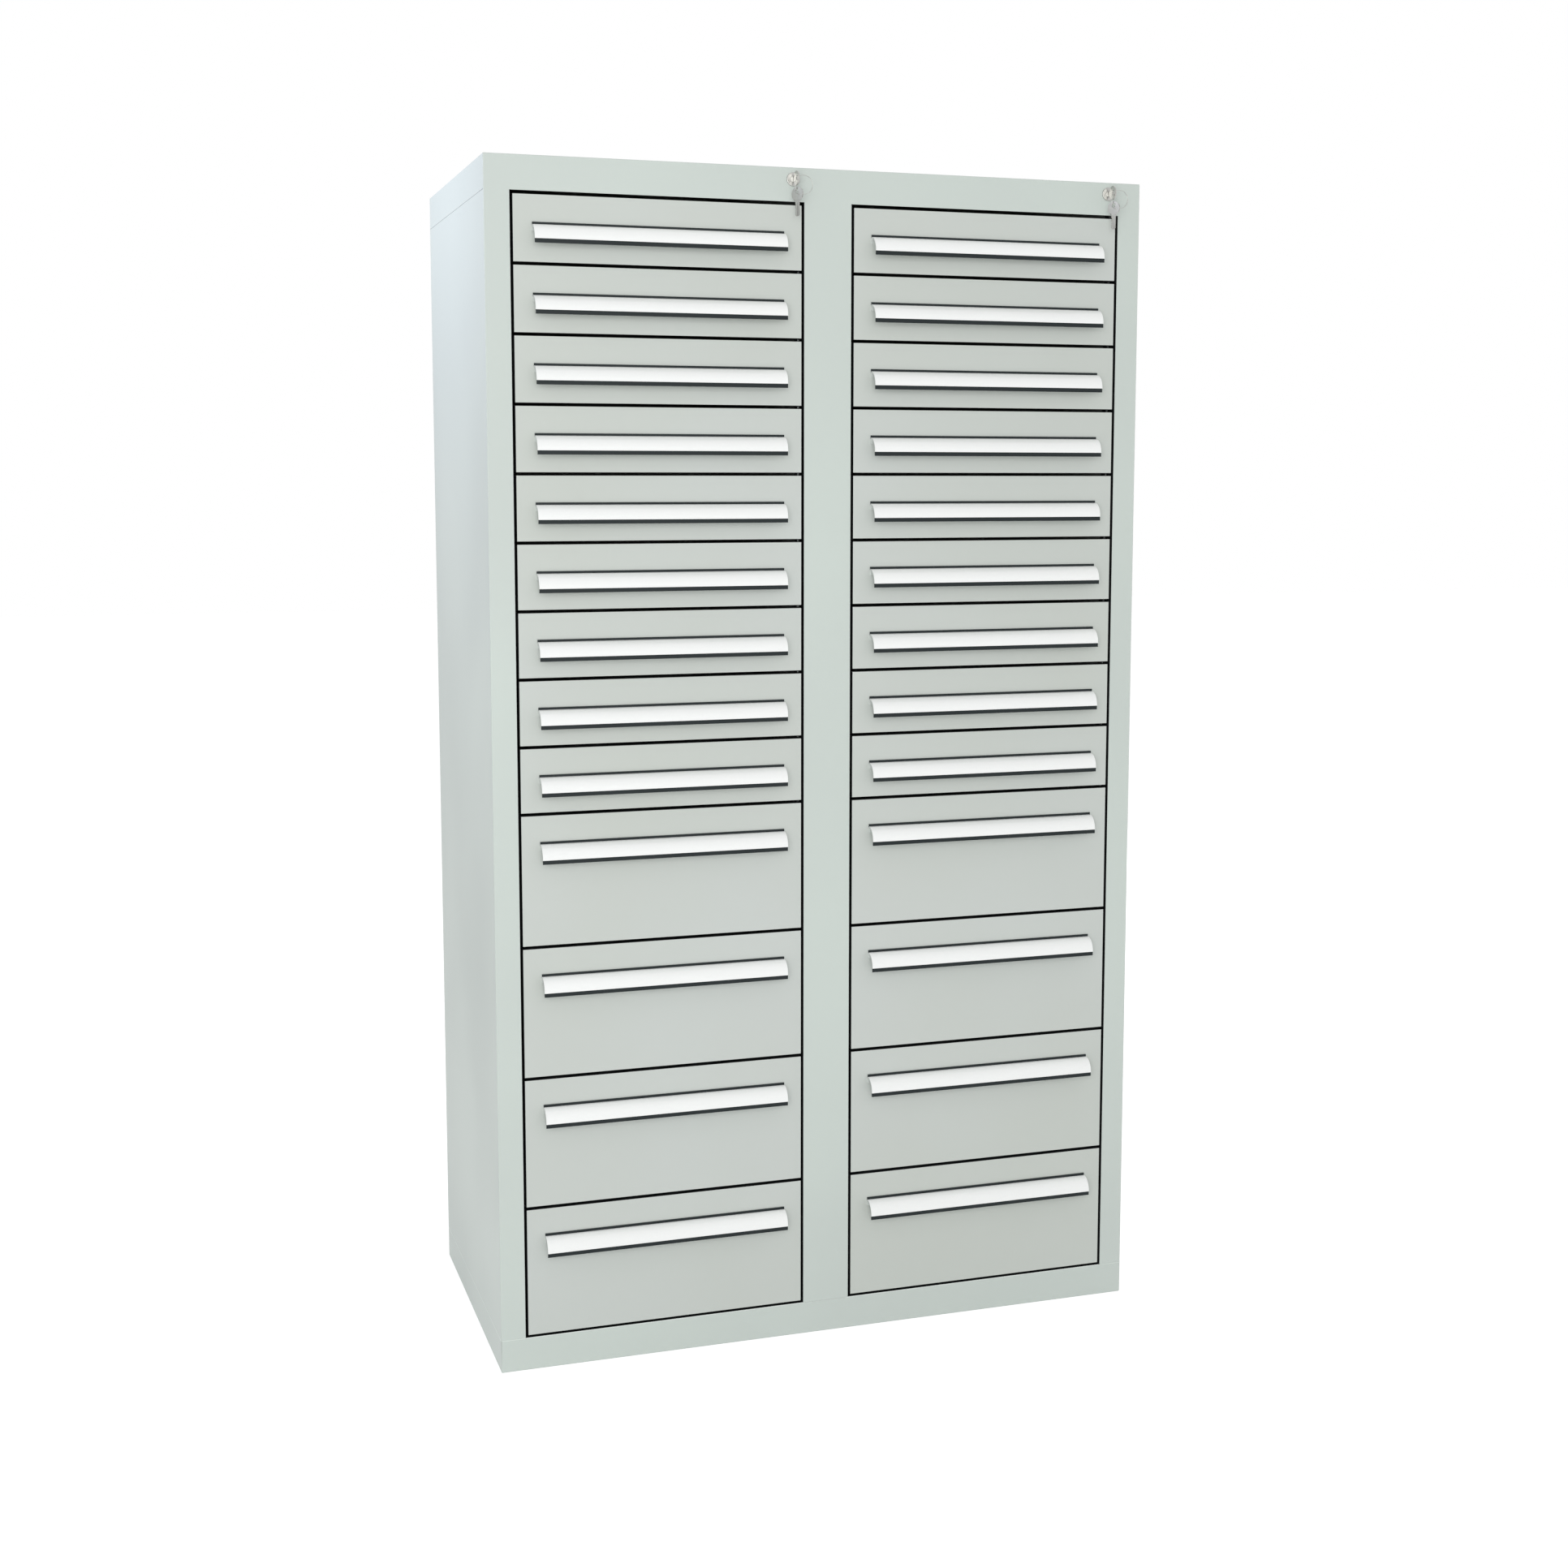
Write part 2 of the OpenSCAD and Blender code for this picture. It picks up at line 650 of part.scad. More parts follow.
key(1);  // key_right
key_ring(0);  // key_ring_left
key_ring(1);  // key_ring_right
spare_key(0);  // spare_key_left
spare_key(1);  // spare_key_right
lock_bar(0);  // lock_bar_left
lock_bar(1);  // lock_bar_right
lock_bar_tabs(0);  // lock_bar_tabs_left
lock_bar_tabs(1);  // lock_bar_tabs_right
lock_bar_guides();
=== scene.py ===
# %% [markdown]
# # A steel parts cabinet
# The cabinet stands in a workshop store. Its carcass is folded from sheet steel and holds two columns of
# thirteen drawers, nine low and four high. Each drawer has a grip profile that carries a paper label, and
# a cam lock at the top of each column lifts a bar that blocks the drawers. The CAD frame already gives
# every place and size, so this file reads them from it and gives the parts their rounded folds, walls,
# small shapes and finishes.

# %% Load the frame
import math
from contextlib import contextmanager

import bmesh
import bpy
from mathutils import Matrix, Vector


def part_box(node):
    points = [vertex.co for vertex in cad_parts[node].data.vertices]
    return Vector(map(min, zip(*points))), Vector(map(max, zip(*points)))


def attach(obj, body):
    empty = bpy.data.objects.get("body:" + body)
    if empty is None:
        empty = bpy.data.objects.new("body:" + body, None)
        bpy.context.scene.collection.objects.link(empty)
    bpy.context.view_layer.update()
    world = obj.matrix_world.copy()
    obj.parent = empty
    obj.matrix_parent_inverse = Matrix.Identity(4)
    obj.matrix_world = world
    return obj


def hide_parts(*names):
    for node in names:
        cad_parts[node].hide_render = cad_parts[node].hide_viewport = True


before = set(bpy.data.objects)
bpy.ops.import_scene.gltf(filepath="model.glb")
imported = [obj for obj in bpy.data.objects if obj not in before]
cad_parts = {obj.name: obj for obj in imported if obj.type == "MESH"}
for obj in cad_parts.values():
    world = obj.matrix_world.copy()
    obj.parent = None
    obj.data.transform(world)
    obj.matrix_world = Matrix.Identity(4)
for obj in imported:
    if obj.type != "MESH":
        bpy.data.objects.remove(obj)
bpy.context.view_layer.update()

MM = 0.001

# %% [markdown]
# ## Places that several parts share
# A CAD node's box gives its lowest and highest corner. The top cap gives the front and back planes, and
# a drawer's box gives the height of its front and the back end of its tray. Sizes that a box can't show,
# such as the sheet's thickness, are the ones that the CAD uses.

# %% Shared places and sizes
BAYS = ("left", "right")
ROWS = 13
SHEET = 1.2 * MM
FOLD = 1.3 * MM        # outer radius of a sharp press-brake fold in 1.2 mm sheet
WIDE_FOLD = 1.5 * MM   # the same on trays and rails, which are folded less sharply
PAST = MM              # how far a cutting tool reaches past the piece that it cuts
HAIR = 0.01 * MM       # how near two places are that count as one
LEFT, FRONT, OPEN_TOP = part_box("top_cap")[0]
RIGHT, BACK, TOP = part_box("top_cap")[1]
OPEN_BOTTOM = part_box("base_tray")[1].z
print("opening from", round(OPEN_BOTTOM, 4), "to", round(OPEN_TOP, 4), "m")

# %% [markdown]
# ## The view
# The photograph was taken from the left of the cabinet at about eye height, a little over three metres
# away, with its upright edges parallel. A camera that is tilted down 6 degrees and shifted slightly down
# puts the corners, the drawer gaps and the locks near their places in the photograph. A larger shift would
# cut the cabinet off in the views from other sides.

# %% Camera
camera = bpy.data.objects.new("camera", bpy.data.cameras.new("camera"))
bpy.context.scene.collection.objects.link(camera)
bpy.context.scene.camera = camera
camera.location = (-1.124, -3.500, 1.450)
camera.rotation_euler = (math.radians(90 - 6.37), 0, math.radians(-18.02))
camera.data.sensor_width = 36
camera.data.lens = 47.50
camera.data.shift_y = -0.046
print("camera", camera.data.lens, "mm at", tuple(round(x, 3) for x in camera.location))

# %% [markdown]
# ## Colours and nodes
# Every colour is written as an sRGB hex value, the way a paint maker's sample reads on a screen, and one
# function turns it to the linear numbers that a shader wants. A second function adds a node with its
# settings and links, so that each material below reads as a short list of nodes.

# %% Colour and node helpers
def linear(hex_colour):
    """An sRGB hex colour as linear red, green, blue and alpha."""
    parts = [int(hex_colour[i:i + 2], 16) / 255 for i in (1, 3, 5)]
    return tuple(c / 12.92 if c <= 0.04045 else ((c + 0.055) / 1.055) ** 2.4 for c in parts) + (1.0,)


def add_node(tree, kind, sockets=None, **settings):
    """Adds a node. Each socket gets a value, or the output that feeds it."""
    node = tree.nodes.new("ShaderNode" + kind)
    for key, value in settings.items():
        setattr(node, key, value)
    for key, value in (sockets or {}).items():
        if isinstance(value, bpy.types.NodeSocket):
            tree.links.new(value, node.inputs[key])
        else:
            node.inputs[key].default_value = value
    return node


def new_material(name):
    """An empty material and its node tree, with an output."""
    material = bpy.data.materials.new(name)
    material.use_nodes = True
    material.node_tree.nodes.clear()
    return material, material.node_tree


print("light grey paint in linear light:", [round(x, 3) for x in linear("#CFD6D1")])

# %% [markdown]
# ## Light
# The cabinet was photographed under large soft lamps and stands on white. The world gives an even level,
# and with a very wide lamp in front, near eye height, a colour shows about as it is written and the grips
# throw hardly any shadow. A smaller cool lamp close to the left side lights the upper part of that side,
# and a lamp at the right behind the cabinet lights the two sides that the photograph doesn't show. What
# the camera sees past the cabinet is plain white. The Light Path node tells such a ray from light that
# bounces, so the background can be white without lighting the cabinet more.

# %% Rays that see the white
def seen_directly(tree):
    """1 for what the camera sees by itself, in a mirror or through glass, and 0 for bounced light."""
    path = add_node(tree, "LightPath")
    seen = add_node(tree, "Math", {0: path.outputs["Is Camera Ray"], 1: path.outputs["Is Glossy Ray"]},
                    operation="MAXIMUM")
    return add_node(tree, "Math", {0: seen.outputs[0], 1: path.outputs["Is Transmission Ray"]},
                    operation="MAXIMUM").outputs[0]


# %% World
bpy.context.scene.view_settings.view_transform = "Standard"
world = bpy.data.worlds.new("studio")
bpy.context.scene.world = world
world.use_nodes = True
tree = world.node_tree
tree.nodes.clear()
room = add_node(tree, "Background", {"Color": linear("#FAFCFB"), "Strength": 0.62})
white = add_node(tree, "Background", {"Color": linear("#FFFFFF"), "Strength": 1.0})
mix = add_node(tree, "MixShader", {0: seen_directly(tree), 1: room.outputs[0], 2: white.outputs[0]})
add_node(tree, "OutputWorld", {"Surface": mix.outputs[0]})
print("world with", len(tree.nodes), "nodes")

# %% [markdown]
# ## Lamps
# A photographer's softbox is a wide flat lamp, and a square area lamp is the same thing. The wider it is,
# the softer are its shadows. A lamp shines along its own -Z, so that axis is turned towards a place that
# it aims at, which is easier to think of than three angles.

# %% Lamps
def soft_lamp(name, place, aim, width, power, colour):
    """A square area lamp at a place, turned to an aim."""
    lamp = bpy.data.objects.new(name, bpy.data.lights.new(name, "AREA"))
    bpy.context.scene.collection.objects.link(lamp)
    lamp.location = place
    lamp.rotation_euler = (Vector(aim) - Vector(place)).to_track_quat("-Z", "Y").to_euler()
    lamp.data.size = width
    lamp.data.energy = power
    lamp.data.color = linear(colour)[:3]
    print(name, power, "W at", place)


soft_lamp("front_lamp", (-1.6, -4.5, 1.8), (0, 0, 1.1), 3.0, 90, "#FCFEFC")
soft_lamp("side_lamp", (-1.12, 0.08, 2.05), (-0.56, 0, 1.85), 0.7, 3.3, "#DEE6FF")
soft_lamp("back_lamp", (3.4, 3.4, 1.8), (0, 0, 1.1), 3.0, 75, "#FCFEFC")

# %% [markdown]
# ## Floor
# The floor is one large plane. Light that bounces off it meets a plain pale grey. The camera sees a darker
# grey with a white glow over it, so the floor is white where it gets its light, and keeps a weak shadow
# where the cabinet holds the light off.

# %% Floor
FLOOR_WIDTH = 40
bpy.ops.object.select_all(action="DESELECT")
bpy.ops.mesh.primitive_plane_add(size=FLOOR_WIDTH, location=(0, 0, 0))
floor = bpy.context.object
floor.name = floor.data.name = "floor"
material, tree = new_material("white_floor")
lit = add_node(tree, "BsdfDiffuse", {"Color": linear("#E6E6E6")})
shade = add_node(tree, "BsdfDiffuse", {"Color": linear("#BCBCBC")})
glow = add_node(tree, "Emission", {"Color": linear("#FFFFFF"), "Strength": 0.74})
shown = add_node(tree, "AddShader", {0: shade.outputs[0], 1: glow.outputs[0]})
mix = add_node(tree, "MixShader", {0: seen_directly(tree), 1: lit.outputs[0], 2: shown.outputs[0]})
add_node(tree, "OutputMaterial", {"Surface": mix.outputs[0]})
floor.data.materials.append(material)
print("floor", tuple(floor.dimensions))

# %% [markdown]
# ## Finishes: powder coat
# The carcass and the drawers are light grey polyester powder on steel. Powder melts to an even satin film
# with a fine orange-peel skin, whose cells are about 1 mm wide. That is too fine to show at this
# distance, so it is drawn 4 mm wide and very shallow. A faint cloud, half a metre across, stands for the
# film's uneven thickness, and it also makes the gloss vary a little. Inside the cabinet and the trays the
# film is thin and has no skin to speak of, so that finish is the cloud alone. The edges that are folded
# back beside the gaps get a matt, nearly black finish, which is painted shade: it makes the gaps read as
# black lines. The chamfer round the foot gets a pale finish, which is a painted highlight along the seam.

# %% Powder coat
CLOUD = 500 * MM
ORANGE_PEEL = 4 * MM


def powder_coat(name, colour, cloud_colour, gloss=(0.38, 0.46), shine=0.5):
    """Paint on steel: a faint cloud in colour, and for two levels of gloss a cloud and a skin in it too."""
    material, tree = new_material(name)
    place = add_node(tree, "TexCoord").outputs["Object"]
    noise = add_node(tree, "TexNoise", {"Vector": place, "Scale": 1 / CLOUD, "Detail": 2.0})
    cloud = add_node(tree, "MapRange", {"Value": noise.outputs["Fac"], "From Min": 0.35, "From Max": 0.65})
    cloud = cloud.outputs[0]
    tint = add_node(tree, "Mix", {"Factor": cloud, 6: linear(colour), 7: linear(cloud_colour)},
                    data_type="RGBA")
    shader = add_node(tree, "BsdfPrincipled", {
        "Base Color": tint.outputs[2], "Roughness": gloss[0], "IOR": 1.5, "Specular IOR Level": shine})
    if gloss[0] != gloss[1]:
        rough = add_node(tree, "MapRange", {"Value": cloud, "To Min": gloss[0], "To Max": gloss[1]})
        tree.links.new(rough.outputs[0], shader.inputs["Roughness"])
        skin = add_node(tree, "TexNoise", {"Vector": place, "Scale": 1 / ORANGE_PEEL, "Detail": 1.0})
        bump = add_node(tree, "Bump", {
            "Height": skin.outputs["Fac"], "Strength": 0.12, "Distance": 0.05 * MM})
        tree.links.new(bump.outputs[0], shader.inputs["Normal"])
    add_node(tree, "OutputMaterial", {"Surface": shader.outputs[0]})
    return material


frame_coat = powder_coat("frame_powder_coat", "#CFD7D2", "#CBD2CE")
drawer_coat = powder_coat("drawer_powder_coat", "#CCD0CD", "#C9CDC8")
inner_coat = powder_coat("thin_inner_powder_coat", "#C4CAC6", "#BEC4C0", gloss=(0.5, 0.5))
# Nearly black and matt: painted shade for the faces beside the drawer gaps, so that the gaps read as black
# lines.
gap_shade_finish = powder_coat("painted_gap_shade_black", "#101314", "#171A1C", gloss=(0.8, 0.8), shine=0.2)
# Pale: a painted highlight for the chamfer round the foot.
seam_highlight_finish = powder_coat("painted_seam_highlight_pale", "#EEF4F0", "#E8EEEA", gloss=(0.4, 0.4))
print("paints:", frame_coat.name, drawer_coat.name, inner_coat.name, gap_shade_finish.name, seam_highlight_finish.name)

# %% [markdown]
# ## Finishes: metals
# Runners, bars and cams are bright zinc-plated steel: a dull metal, whose thin plating varies in patches a
# few millimetres wide. Locks and keys are nickel-plated: smoother and a little warmer, with the fine
# lines of polishing, drawn 0.4 mm apart, which is coarser than they are. Both are full metals, so their
# colour is the colour of what they reflect.

# %% Metals
def plated_metal(name, colour, patch_colour, patch, roughness):
    """Plated steel, whose colour varies in patches. Returns its tree and shader too."""
    material, tree = new_material(name)
    place = add_node(tree, "TexCoord").outputs["Object"]
    patches = add_node(tree, "TexNoise", {"Vector": place, "Scale": 1 / patch, "Detail": 3.0})
    tint = add_node(tree, "Mix", {
        "Factor": patches.outputs["Fac"], 6: linear(colour), 7: linear(patch_colour)}, data_type="RGBA")
    shader = add_node(tree, "BsdfPrincipled", {
        "Base Color": tint.outputs[2], "Metallic": 1.0, "Roughness": roughness})
    add_node(tree, "OutputMaterial", {"Surface": shader.outputs[0]})
    return material, tree, shader


zinc, _, _ = plated_metal("bright_zinc_plate", "#B7BBBD", "#A3A8AB", 9 * MM, 0.38)
POLISH_LINES = 0.4 * MM
nickel, tree, shader = plated_metal("polished_nickel_plate", "#C4C3BF", "#AFAEAB", 5 * MM, 0.3)
place = add_node(tree, "TexCoord").outputs["Object"]
along = add_node(tree, "Mapping", {"Vector": place, "Scale": (1, 1, 0.05)})
lines = add_node(tree, "TexNoise", {"Vector": along.outputs[0], "Scale": 1 / POLISH_LINES, "Detail": 1.0})
bump = add_node(tree, "Bump", {"Height": lines.outputs["Fac"], "Strength": 0.1, "Distance": 0.02 * MM})
tree.links.new(bump.outputs[0], shader.inputs["Normal"])
print("metals:", zinc.name, nickel.name)

# %% [markdown]
# ## Finishes: grip
# The grip is ABS, extruded from two colours at once: its curved wall is pale grey, and its finger lip is
# anthracite, nearly black. The rim gets the same near-black, which there is partly painted shade: it
# stands in for the shade of the narrow gap above the label. Extrusion leaves faint lines along its
# length, drawn 0.8 mm apart. A noise that is stretched a hundred times along X gives such lines.

# %% Extruded plastic
DIE_LINES = 0.8 * MM


def extruded_abs(name, colour, line_colour, shine):
    """ABS with the faint lines of extrusion along X."""
    material, tree = new_material(name)
    place = add_node(tree, "TexCoord").outputs["Object"]
    along = add_node(tree, "Mapping", {"Vector": place, "Scale": (0.01, 1, 1)})
    lines = add_node(tree, "TexNoise", {"Vector": along.outputs[0], "Scale": 1 / DIE_LINES, "Detail": 2.0})
    tint = add_node(tree, "Mix", {
        "Factor": lines.outputs["Fac"], 6: linear(colour), 7: linear(line_colour)}, data_type="RGBA")
    bump = add_node(tree, "Bump", {"Height": lines.outputs["Fac"], "Strength": 0.3, "Distance": 0.05 * MM})
    shader = add_node(tree, "BsdfPrincipled", {
        "Base Color": tint.outputs[2], "Roughness": 0.45, "IOR": 1.54, "Specular IOR Level": shine,
        "Normal": bump.outputs[0]})
    add_node(tree, "OutputMaterial", {"Surface": shader.outputs[0]})
    return material


# Near-black anthracite: the lip's own colour, and on the rim also painted shade of the gap above the label.
anthracite_and_rim_shade_abs = extruded_abs("anthracite_abs_and_painted_rim_shade", "#131A1C", "#1B2426", shine=0.25)
pale_abs = extruded_abs("extruded_pale_grey_abs", "#D6DAD8", "#D0D4D1", shine=0.5)
print("grip plastics:", anthracite_and_rim_shade_abs.name, pale_abs.name)

# %% [markdown]
# ## Finishes: label and glides
# The label is a white card behind a clear film, so it has a paper's fibre under a thin glossy coat. Fibre
# is too fine to show, and is drawn as a cloud 3 mm wide. The glides are natural nylon, a soft white plastic
# that is a little waxy and slightly cloudy.

# %% Label and nylon
FIBRE_CLOUD, NYLON_CLOUD = 3 * MM, 6 * MM
label_card, tree = new_material("label_card_under_film")
place = add_node(tree, "TexCoord").outputs["Object"]
fibre = add_node(tree, "TexNoise", {"Vector": place, "Scale": 1 / FIBRE_CLOUD, "Detail": 4.0})
tint = add_node(tree, "Mix", {"Factor": fibre.outputs["Fac"], 6: linear("#FBFBFB"), 7: linear("#F7F7F7")},
                data_type="RGBA")
bump = add_node(tree, "Bump", {"Height": fibre.outputs["Fac"], "Strength": 0.05, "Distance": 0.05 * MM})
shader = add_node(tree, "BsdfPrincipled", {
    "Base Color": tint.outputs[2], "Roughness": 0.6, "IOR": 1.5, "Coat Weight": 1.0,
    "Coat Roughness": 0.1, "Normal": bump.outputs[0]})
add_node(tree, "OutputMaterial", {"Surface": shader.outputs[0]})

nylon, tree = new_material("natural_nylon")
place = add_node(tree, "TexCoord").outputs["Object"]
cloud = add_node(tree, "TexNoise", {"Vector": place, "Scale": 1 / NYLON_CLOUD, "Detail": 2.0})
tint = add_node(tree, "Mix", {"Factor": cloud.outputs["Fac"], 6: linear("#EDECE6"), 7: linear("#E4E3DC")},
                data_type="RGBA")
shader = add_node(tree, "BsdfPrincipled", {"Base Color": tint.outputs[2], "Roughness": 0.4, "IOR": 1.53})
add_node(tree, "OutputMaterial", {"Surface": shader.outputs[0]})
print("label and glides:", label_card.name, nylon.name)

# %% [markdown]
# ## Working in edit mode from code
# By hand one clicks on a face or an edge. In code each face or edge is picked by its place or its
# direction, so a small function clears the selection and selects what passes a test. Another one goes
# into edit mode on one piece and comes back.

# %% Selecting and editing
def select_only(piece):
    """Makes the piece the active object and the only selected one."""
    bpy.ops.object.select_all(action="DESELECT")
    piece.select_set(True)
    bpy.context.view_layer.objects.active = piece


@contextmanager
def editing(piece):
    """Edit mode on one piece."""
    select_only(piece)
    bpy.ops.object.mode_set(mode="EDIT")
    yield
    bpy.ops.object.mode_set(mode="OBJECT")


def pick(piece, kind, test):
    """In edit mode, selects only the faces, edges or vertices that pass the test."""
    bpy.ops.mesh.select_mode(type=kind)
    bpy.ops.mesh.select_all(action="DESELECT")
    mesh = bmesh.from_edit_mesh(piece.data)
    for part in {"FACE": mesh.faces, "EDGE": mesh.edges, "VERT": mesh.verts}[kind]:
        if test(part):
            part.select_set(True)
    mesh.select_flush_mode()
    bmesh.update_edit_mesh(piece.data)


def is_fold(edge):
    """True where two faces meet at more than 45 degrees."""
    return len(edge.link_faces) == 2 and edge.calc_face_angle() > math.radians(45)


def middle(edge):
    """The point halfway along an edge."""
    return (edge.verts[0].co + edge.verts[1].co) / 2


# %% [markdown]
# ## Primitives
# Every piece starts as a cube, a cylinder or a circle at its real size and place. Its place is then applied
# to its mesh, so that its object stays at the origin, as a CAD node's does, and the patterns of the
# materials, which are measured from the origin, run on from piece to piece.

# %% Primitives at their size and place
def named(name):
    """Names the primitive that was just added, and puts its place into its mesh."""
    piece = bpy.context.object
    piece.name = piece.data.name = name
    bpy.ops.object.transform_apply(location=True, rotation=True, scale=True)
    return piece


def block(name, low, high):
    """A cube between any two opposite corners."""
    size = [abs(b - a) for a, b in zip(low, high)]
    bpy.ops.object.select_all(action="DESELECT")
    bpy.ops.mesh.primitive_cube_add(size=1, location=(Vector(low) + Vector(high)) / 2, scale=size)
    return named(name)


def disc(name, centre, radius, y_low, y_high, sides=64, axis="Y"):
    """A cylinder along Y or X between two depths."""
    x, y, z = centre
    turn = (math.radians(90), 0, 0) if axis == "Y" else (0, math.radians(90), 0)
    place = (x, (y_low + y_high) / 2, z) if axis == "Y" else ((y_low + y_high) / 2, y, z)
    bpy.ops.object.select_all(action="DESELECT")
    bpy.ops.mesh.primitive_cylinder_add(vertices=sides, radius=radius, depth=y_high - y_low,
                                        location=place, rotation=turn)
    return named(name)


# %% [markdown]
# ## Steps that sheet-metal parts share
# A folded part can be modelled with both faces of its sheet, but then each fold is made twice and has to
# fit. It is quicker to shape only the outer face: a cube loses the sides where the sheet is open, its edges
# are bevelled into folds, and Solidify adds the sheet's thickness inwards. Weighted normals then keep the
# flat parts flat next to the folds.

# %% Steps that sheet-metal parts share
def join(pieces):
    """Joins pieces into the first one."""
    bpy.ops.object.select_all(action="DESELECT")
    for piece in pieces:
        piece.select_set(True)
    bpy.context.view_layer.objects.active = pieces[0]
    bpy.ops.object.join()
    return pieces[0]


def apply_modifier(piece, kind, **settings):
    """Adds a modifier with its settings and applies it."""
    select_only(piece)
    modifier = piece.modifiers.new(kind, kind)
    for key, value in settings.items():
        setattr(modifier, key, value)
    bpy.ops.object.modifier_apply(modifier=modifier.name)


def open_up(piece, *directions):
    """Deletes the faces that look in these directions."""
    with editing(piece):
        pick(piece, "FACE", lambda face: any(face.normal.dot(Vector(d)) > 0.9 for d in directions))
        bpy.ops.mesh.delete(type="FACE")


def round_folds(piece, radius=FOLD, test=is_fold, segments=3):
    """Rounds the edges that pass the test."""
    with editing(piece):
        pick(piece, "EDGE", test)
        bpy.ops.mesh.bevel(offset=radius, segments=segments, affect="EDGES")


def face_out(piece, inside):
    """Makes the faces of an open sheet point away from a point inside the part."""
    with editing(piece):
        bpy.ops.mesh.select_all(action="SELECT")
        bpy.ops.mesh.normals_make_consistent(inside=False)
    away = sum(face.area * face.normal.dot(face.center - Vector(inside)) for face in piece.data.polygons)
    if away < 0:
        with editing(piece):
            bpy.ops.mesh.select_all(action="SELECT")
            bpy.ops.mesh.flip_normals()


def thicken(piece, wall=SHEET):
    """Gives an open sheet its wall, on the inside."""
    apply_modifier(piece, "SOLIDIFY", thickness=wall, offset=-1, use_even_offset=True)


def cut(piece, tool):
    """Cuts a tool out of the piece and throws the tool away."""
    apply_modifier(piece, "BOOLEAN", operation="DIFFERENCE", object=tool, solver="EXACT")
    bpy.data.objects.remove(tool)


def smooth(piece, degrees=35):
    """Smooth shading up to an angle, weighted so that flat sheets stay flat beside their folds."""
    select_only(piece)
    bpy.ops.object.shade_smooth_by_angle(angle=math.radians(degrees))
    apply_modifier(piece, "WEIGHTED_NORMAL", keep_sharp=True)


def dress(piece, body, nodes, slot, *finishes):
    """Puts a finished piece on its body, hides the CAD nodes that it stands in for, and gives it the
    finishes that are passed, in place of its own.
    """
    if finishes:
        piece.data.materials.clear()
        for finish in finishes:
            piece.data.materials.append(finish)
    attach(piece, body)
    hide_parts(*nodes)
    return piece


def paint_faces(piece, finish, test):
    """Gives the faces that pass the test a finish of their own, beside those that the piece has."""
    piece.data.materials.append(finish)
    for face in piece.data.polygons:
        if test(face):
            face.material_index = len(piece.data.materials) - 1


def is_folded_back(face):
    """True for the sheet behind a front fold, the inner part of the fold, and the front's inner side."""
    return face.center.y > FRONT + FOLD or face.normal.y > -0.8


def size_of(piece):
    """The piece's three sizes in mm, for printing."""
    return [round(x / MM, 1) for x in piece.dimensions]


# %% [markdown]
# ## Top cap
# The cap is one sheet folded down all round like a lid, with welded and ground corners, and a hole in its
# front band for each lock. A cube without its bottom is the folded sheet's outer face. Its edges are
# rounded to the fold's radius before the sheet gets its thickness, so that the inside is rounded too.

# %% Top cap
LOCK_HOLE = 8.2 * MM
cap = block("top_cap_shell", (LEFT, FRONT, OPEN_TOP), (RIGHT, BACK, TOP))
open_up(cap, (0, 0, -1))
round_folds(cap)
thicken(cap)
for bay in BAYS:
    x, _, z = [sum(pair) / 2 for pair in zip(*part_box(f"lock_housing_{bay}"))]
    cut(cap, disc("hole", (x, 0, z), LOCK_HOLE, FRONT - PAST, FRONT + SHEET + PAST))
smooth(cap)
dress(cap, "carcass", ["top_cap"], "frame_paint", frame_coat)
print("top cap", size_of(cap), "mm,", len(cap.data.polygons), "faces")

# %% [markdown]
# ## Base tray
# The base is the same kind of lid, turned over. The side panels stand on its rim. The rim's outer edge is
# chamfered, and the chamfer's faces get a pale colour, a painted highlight that shows as a fine light line
# all round the foot of the cabinet. A bevel of one segment makes the chamfer. The rest of the rim lies in
# the gap under the drawers, and it gets the nearly black painted shade of the gaps, as do the inner walls.

# %% Base tray
CHAMFER = 1.1 * MM
CORNER_REACH = 0.3 * MM     # takes in the rim's edges where the rounded corners begin
base = block("base_tray_shell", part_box("base_tray")[0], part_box("base_tray")[1])
open_up(base, (0, 0, 1))
round_folds(base)
thicken(base)
round_folds(base, CHAMFER, segments=1, test=lambda edge: (
    is_fold(edge) and middle(edge).z > OPEN_BOTTOM - HAIR
    and (middle(edge).x < LEFT + CORNER_REACH or middle(edge).x > RIGHT - CORNER_REACH
         or middle(edge).y < FRONT + CORNER_REACH or middle(edge).y > BACK - CORNER_REACH)))
smooth(base)
dress(base, "carcass", ["base_tray"], "frame_paint", frame_coat)
# The rim under the drawers and the inner walls get the nearly black painted shade of the gaps.
paint_faces(base, gap_shade_finish, lambda face: (
    face.center.z > OPEN_BOTTOM - HAIR or (face.center.z > SHEET + FOLD and abs(face.normal.z) < 0.1 and (
        LEFT + MM < face.center.x < RIGHT - MM and FRONT + MM < face.center.y < BACK - MM))))
# The chamfer's faces get the pale painted highlight, a fine light line round the foot.
paint_faces(base, seam_highlight_finish, lambda face: (
    face.center.z > OPEN_BOTTOM - CHAMFER and 0.5 < face.normal.z < 0.9))
print("base tray", size_of(base), "mm,", len(base.data.polygons), "faces")

# %% [markdown]
# ## Side panels
# Each side is one sheet: a flange at the back, the side itself, the stile beside the drawers and a return
# behind the stile that keeps it stiff. The flat side comes first, and each fold is an edge of it that is
# extruded the width of the next strip. The top edge stops half a millimetre under the cap, and that gap
# is the grey seam seen along the top of the side.

# %% Side panels
STILE = 41 * MM
RETURN = 25 * MM
BACK_FLANGE = 15 * MM
SEAM = 0.5 * MM


def extrude_edge(piece, test, shift):
    """Extrudes the edges that pass the test, as one folds the next strip on."""
    pick(piece, "EDGE", test)
    bpy.ops.mesh.extrude_edges_move(TRANSFORM_OT_translate={"value": shift})


